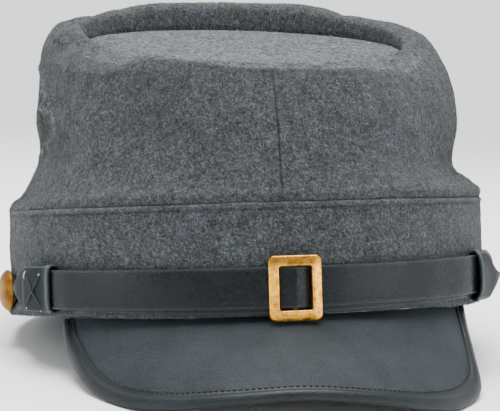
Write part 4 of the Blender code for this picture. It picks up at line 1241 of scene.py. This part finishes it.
def make_cross_stitch(keeper):
    """Two threads that cross, the second over the first, and their ends beside the holes."""
    t = np.linspace(0, 1, 24)
    crossing = (((0.28, 0.0047), (0.82, -0.0058)), ((0.28, -0.0064), (0.82, 0.0047)))
    for index, ends in enumerate(crossing):
        lift = 0.00024 * np.sin(math.pi * t) ** 0.4 - 0.0001 + 0.0003 * index * bell(t - 0.5, 0.12)
        add_thread(keeper, f"stitch_{index + 1}", ends, lift, 0.0, CROSS_RADIUS, THREAD)
    lift = 0.00016 * np.sin(math.pi * np.linspace(0, 1, 8)) ** 0.5
    tails = (
        (((0.84, 0.0066), (0.90, 0.0036)), 0.03, 0.00026),
        (((0.30, 0.0056), (0.32, 0.0049)), 0.0, 0.00026),
        (((0.84, -0.0066), (0.86, -0.0072)), 0.0, 0.00018),
        (((0.32, -0.0076), (0.34, -0.0082)), 0.0, 0.00018),
    )
    for index, (ends, bow, radius) in enumerate(tails):
        add_thread(keeper, f"thread_end_{index + 1}", ends, lift, bow, radius, THREAD_LIGHT)


# --- brass


def turned_grid(rows, steps):
    """Rings round the Z axis, each given by its radius and its height."""
    azimuth = whole_turn(steps)[::-1]
    circle = np.stack([np.cos(azimuth), np.sin(azimuth), 0 * azimuth], axis=-1)
    return np.array([circle * max(radius, 1e-5) + (0, 0, height) for radius, height in rows])


def turned_and_moved(points, heading, axis, place):
    """Points turned a quarter about an axis, then to a heading, and moved to a place."""
    turn = np.array(Matrix.Rotation(heading, 3, "Z") @ Matrix.Rotation(math.pi / 2, 3, axis))
    return points @ turn.T + place


def make_button(name, keeper):
    """A domed button with its shank, which leans with the tab under it."""
    knots = lengths_along(BUTTON_ROWS)
    dome = smooth_through(knots, BUTTON_ROWS, np.linspace(0, knots[-1], BUTTON_STEPS))
    rows = [(SHANK_RADIUS, -SHANK_BACK), (SHANK_RADIUS, 0.0), *dome]
    points, faces = tube_mesh(turned_grid(rows, BUTTON_SIDES))
    place, outward = band_outline(keeper.side * math.radians(BUTTON_AZIMUTH), BUTTON_SEAT)
    heading = math.atan2(outward[1], outward[0]) - keeper.side * BUTTON_TURN
    points = turned_and_moved(points, heading, "Y", (place[0], place[1], keeper.button_z))
    # Tarnish in lumps.
    darkening = np.clip(0.20 + 0.15 * lumps(points, 0.0022, 95), 0, 0.7)
    add_mesh(f"{name}_brass", points, faces, BRASS_DULL, name, darkening)


def rounded_rectangle(width, height, corner):
    """A loop of points, finer round the corners than along the sides."""
    points = []
    for quarter in range(4):
        centre_x = (width / 2 - corner) * (1 if quarter in (0, 3) else -1)
        centre_y = (height / 2 - corner) * (1 if quarter in (0, 1) else -1)
        for turn in np.linspace(quarter, quarter + 1, CORNER_STEPS) * math.pi / 2:
            points.append((centre_x + corner * math.cos(turn), centre_y + corner * math.sin(turn)))
    points = np.array(points)
    found = []
    for index, (start, end) in enumerate(zip(points, np.roll(points, -1, axis=0))):
        count = SIDE_STEPS if index % CORNER_STEPS == CORNER_STEPS - 1 else 1
        found += [start + (end - start) * share for share in np.linspace(0, 1, count, endpoint=False)]
    return np.array(found)


def make_buckle():
    """A frame whose face slopes out from a raised lip round its window, with a bar behind."""
    loops = (  # an outline, how much wider and rounder it is, and its level past the front: millimetres
        (WINDOW_OUTLINE, 0, 0, -2.6),
        (BUCKLE_OUTLINE, 0, 0, -2.6),
        (BUCKLE_OUTLINE, 0, 0, -1.25),
        (BUCKLE_OUTLINE, -0.12, 0, -1.05),
        (BUCKLE_OUTLINE, -0.5, -0.2, -0.83),
        (BUCKLE_OUTLINE, -1.1, -0.4, -0.68),
        (BUCKLE_OUTLINE, -2.4, -0.7, -0.45),
        (WINDOW_OUTLINE, 2.8, 0.6, -0.16),
        (WINDOW_OUTLINE, 1.5, 0.4, 0.06),
        (WINDOW_OUTLINE, 0.9, 0.3, 0.08),
        (WINDOW_OUTLINE, 0.3, 0.1, -0.10),
        (WINDOW_OUTLINE, 0, 0, -0.45),
    )
    sections = []
    for (width, height, corner), wider, rounder, level in loops:
        loop = rounded_rectangle(width + MM * wider, height + MM * wider, corner + MM * rounder)
        sections.append(np.column_stack([loop, np.full(len(loop), BUCKLE_THICKNESS + MM * level)]))
    sections = np.array(sections)
    sections[2:, :, 2] += uneven(sections, (0.00009, 0.0026, 91), (0.00005, 0.0010, 92))[2:]
    points, faces = tube_mesh(sections, closed_path=True)
    reach = (WINDOW_HEIGHT + BUCKLE_HEIGHT) / 4
    bar, bar_faces = tube_mesh(turned_grid([(BAR_RADIUS, -reach), (BAR_RADIUS, reach)], BAR_SIDES))
    bar = bar[:, [0, 2, 1]] * (1, 1, -1) + (0, 0, BAR_OFFSET - BUCKLE_BACK)
    faces += [group + len(points) for group in bar_faces]
    points = np.concatenate([points, bar])
    # Painted shade darkens the top bar; the lumps over all are tarnish.
    darkening = 0.55 * share_of(points[:, 1], 0.0070, 0.0080) + 0.25 * lumps(points, 0.0016, 93)
    place, outward = band_outline(math.asin(BUCKLE_X / STRAP_RING.right), BUCKLE_BACK)
    heading = math.atan2(outward[0], -outward[1])
    points = turned_and_moved(points, heading, "X", (place[0], place[1], BUCKLE_Z))
    add_mesh("buckle_brass", points, faces, BRASS, "buckle", np.clip(darkening, 0, 0.8))


# --- studio


def make_stage():
    """A pale floor that turns up into a wall all round."""
    bend = np.linspace(0, math.pi / 2, 10)[1:]
    radii = [*np.linspace(0.001, FLOOR_REACH, 12), *(FLOOR_REACH + FLOOR_BEND * np.sin(bend))]
    heights = [0.0] * 12 + [*(FLOOR_BEND * (1 - np.cos(bend)))]
    rows = [*zip(radii, heights), (FLOOR_REACH + FLOOR_BEND, WALL_TOP)]
    faces = grid_quads(len(rows), FLOOR_SIDES, True).tolist() + [list(range(FLOOR_SIDES))[::-1]]
    mesh = bpy.data.meshes.new("studio_floor")
    mesh.from_pydata(turned_grid(rows, FLOOR_SIDES).reshape(-1, 3).tolist(), [], faces)
    material, tree, shader = new_material("studio_floor")
    set_inputs(tree, shader, Base_Color=(0.93, 0.93, 0.93, 1.0), Roughness=0.9, Specular_IOR_Level=0.1)
    mesh.materials.append(material)
    mesh.shade_smooth()
    floor = bpy.data.objects.new("studio_floor", mesh)
    bpy.context.scene.collection.objects.link(floor)


def make_lights():
    """A big soft light above and low ones at the sides, which draw the strap's shine."""
    world = bpy.data.worlds.new("studio_air")
    bpy.context.scene.world = world
    world.use_nodes = True
    tree = world.node_tree
    set_inputs(tree, tree.nodes["Background"], Color=(0.93, 0.97, 1.0, 1.0), Strength=0.34)
    white = (1.0, 1.0, 1.0)
    cool = (0.88, 0.96, 1.0)
    rows = (  # name, place, width, height, power and colour
        ("overhead_light", (0.0, 0.10, 1.0), 0.9, 0.9, 32.0, white),
        ("left_light", (-0.95, -0.10, 0.17), 0.9, 0.28, 1.15, cool),
        ("left_front_light", (-0.92, -0.38, 0.17), 0.34, 0.28, 1.05, cool),
        ("right_light", (0.92, -0.25, 0.17), 1.3, 0.28, 1.45, cool),
        ("right_front_light", (0.74, -0.62, 0.17), 0.55, 0.28, 1.7, cool),
    )
    for name, place, width, height, power, colour in rows:
        light = bpy.data.lights.new(name, "AREA")
        light.shape = "RECTANGLE"
        light.size = width
        light.size_y = height
        light.energy = power
        light.color = colour
        obj = bpy.data.objects.new(name, light)
        bpy.context.scene.collection.objects.link(obj)
        obj.location = place
        toward_cap = Vector((0.0, 0.0, 0.07)) - Vector(place)
        obj.rotation_euler = toward_cap.to_track_quat("-Z", "Y").to_euler()
        obj.visible_camera = False


def make_camera():
    """The photograph's viewpoint, worked out in the cap's own frame and stood up with it."""
    ex = np.array([math.cos(CAMERA_TURN), -math.sin(CAMERA_TURN), 0.0])
    ey = np.array([math.sin(CAMERA_TURN), math.cos(CAMERA_TURN), 0.0])
    ez = np.array([0.0, 0.0, 1.0])
    forward = ey * math.cos(CAMERA_PITCH) - ez * math.sin(CAMERA_PITCH)
    level = ey * math.sin(CAMERA_PITCH) + ez * math.cos(CAMERA_PITCH)
    aim = AIM_HEIGHT * ez + CAMERA_SIDE * ex + CAMERA_RISE * level
    matrix = np.eye(4)
    matrix[:3, 0] = ex * math.cos(CAMERA_ROLL) - level * math.sin(CAMERA_ROLL)
    matrix[:3, 1] = ex * math.sin(CAMERA_ROLL) + level * math.cos(CAMERA_ROLL)
    matrix[:3, 2] = -forward
    matrix[:3, 3] = aim - CAMERA_DISTANCE * forward
    camera = bpy.data.cameras.new("camera")
    camera.sensor_width = SENSOR_MM
    camera.lens = SENSOR_MM * FOCAL_PIXELS / PHOTO_WIDTH
    camera.clip_start = 0.01
    obj = bpy.data.objects.new("camera", camera)
    bpy.context.scene.collection.objects.link(obj)
    obj.matrix_world = Matrix((STAND @ matrix).tolist())
    bpy.context.scene.camera = obj


# --- the cap

make_camera()
WOOL = wool_material("wool_grey", 0.675)
# The top's wool and its fibres are lighter copies of the sides': painted light, for the light that falls
# on the top from above.
WOOL_TOP_LIT = wool_material("wool_top_lit", 1.27, 3.1, (0.985, 0.995, 1.06))
NAP = nap_material("wool_fibres", 0.72)
NAP_TOP_LIT = nap_material("wool_fibres_top_lit", 1.6)

# Each leather's own colour and the paler colour of its edges (wear, and on the strap and keepers also
# painted highlight), then roughness, grain and gloss
black = (0.0235, 0.0295, 0.0330)
LEATHER_PEAK = leather_material("leather_peak_fine", black, (0.07, 0.08, 0.088), 0.60, 1.8, 0.10)
# The binding's leather is a darker copy of the peak's: painted shade on the binding, which rounds down
# over the peak's edge.
black = (0.0085, 0.0112, 0.0130)
LEATHER_EDGE_SHADED = leather_material("leather_binding_shaded", black, (0.03, 0.036, 0.04), 0.46, 1.0, 0.20)
black = (0.0034, 0.0053, 0.0066)
LEATHER_STRAP = leather_material("leather_strap_fine", black, (0.045, 0.055, 0.06), 0.27, 0.7, 0.18)
black = (0.0080, 0.0112, 0.0135)
LEATHER_LOOP = leather_material("leather_keeper_fine", black, (0.13, 0.15, 0.16), 0.56, 1.0, 0.10)
BRASS = brass_material("brass_aged", 0.98, 0.12, 1.0)
BRASS_DULL = brass_material("brass_dull", 0.30, 0.32, 0.5)
THREAD = thread_material("thread_dark", (0.003, 0.0035, 0.004))
THREAD_LIGHT = thread_material("thread_light", (0.45, 0.46, 0.46))

seam = SEAM_HALF_GAP / 4 / BAND_RINGS[-1].right
make_crown("crown_right", seam, math.pi - seam, 11)
make_crown("crown_left", seam - math.pi, -seam, 21)
make_band()
make_top()
make_peak()
make_binding()
make_strap("strap_under", UNDER_DROP, GAP, 0.0, 81)
make_strap("strap_upper", 0.0, 2 * GAP + STRAP_THICKNESS, BAR_HUMP, 83)
for keeper in KEEPERS:
    make_keeper(keeper)
make_cross_stitch(KEEPERS[0])
make_buckle()
make_button("button_left", KEEPERS[0])
make_button("button_right", KEEPERS[1])
make_stage()
make_lights()
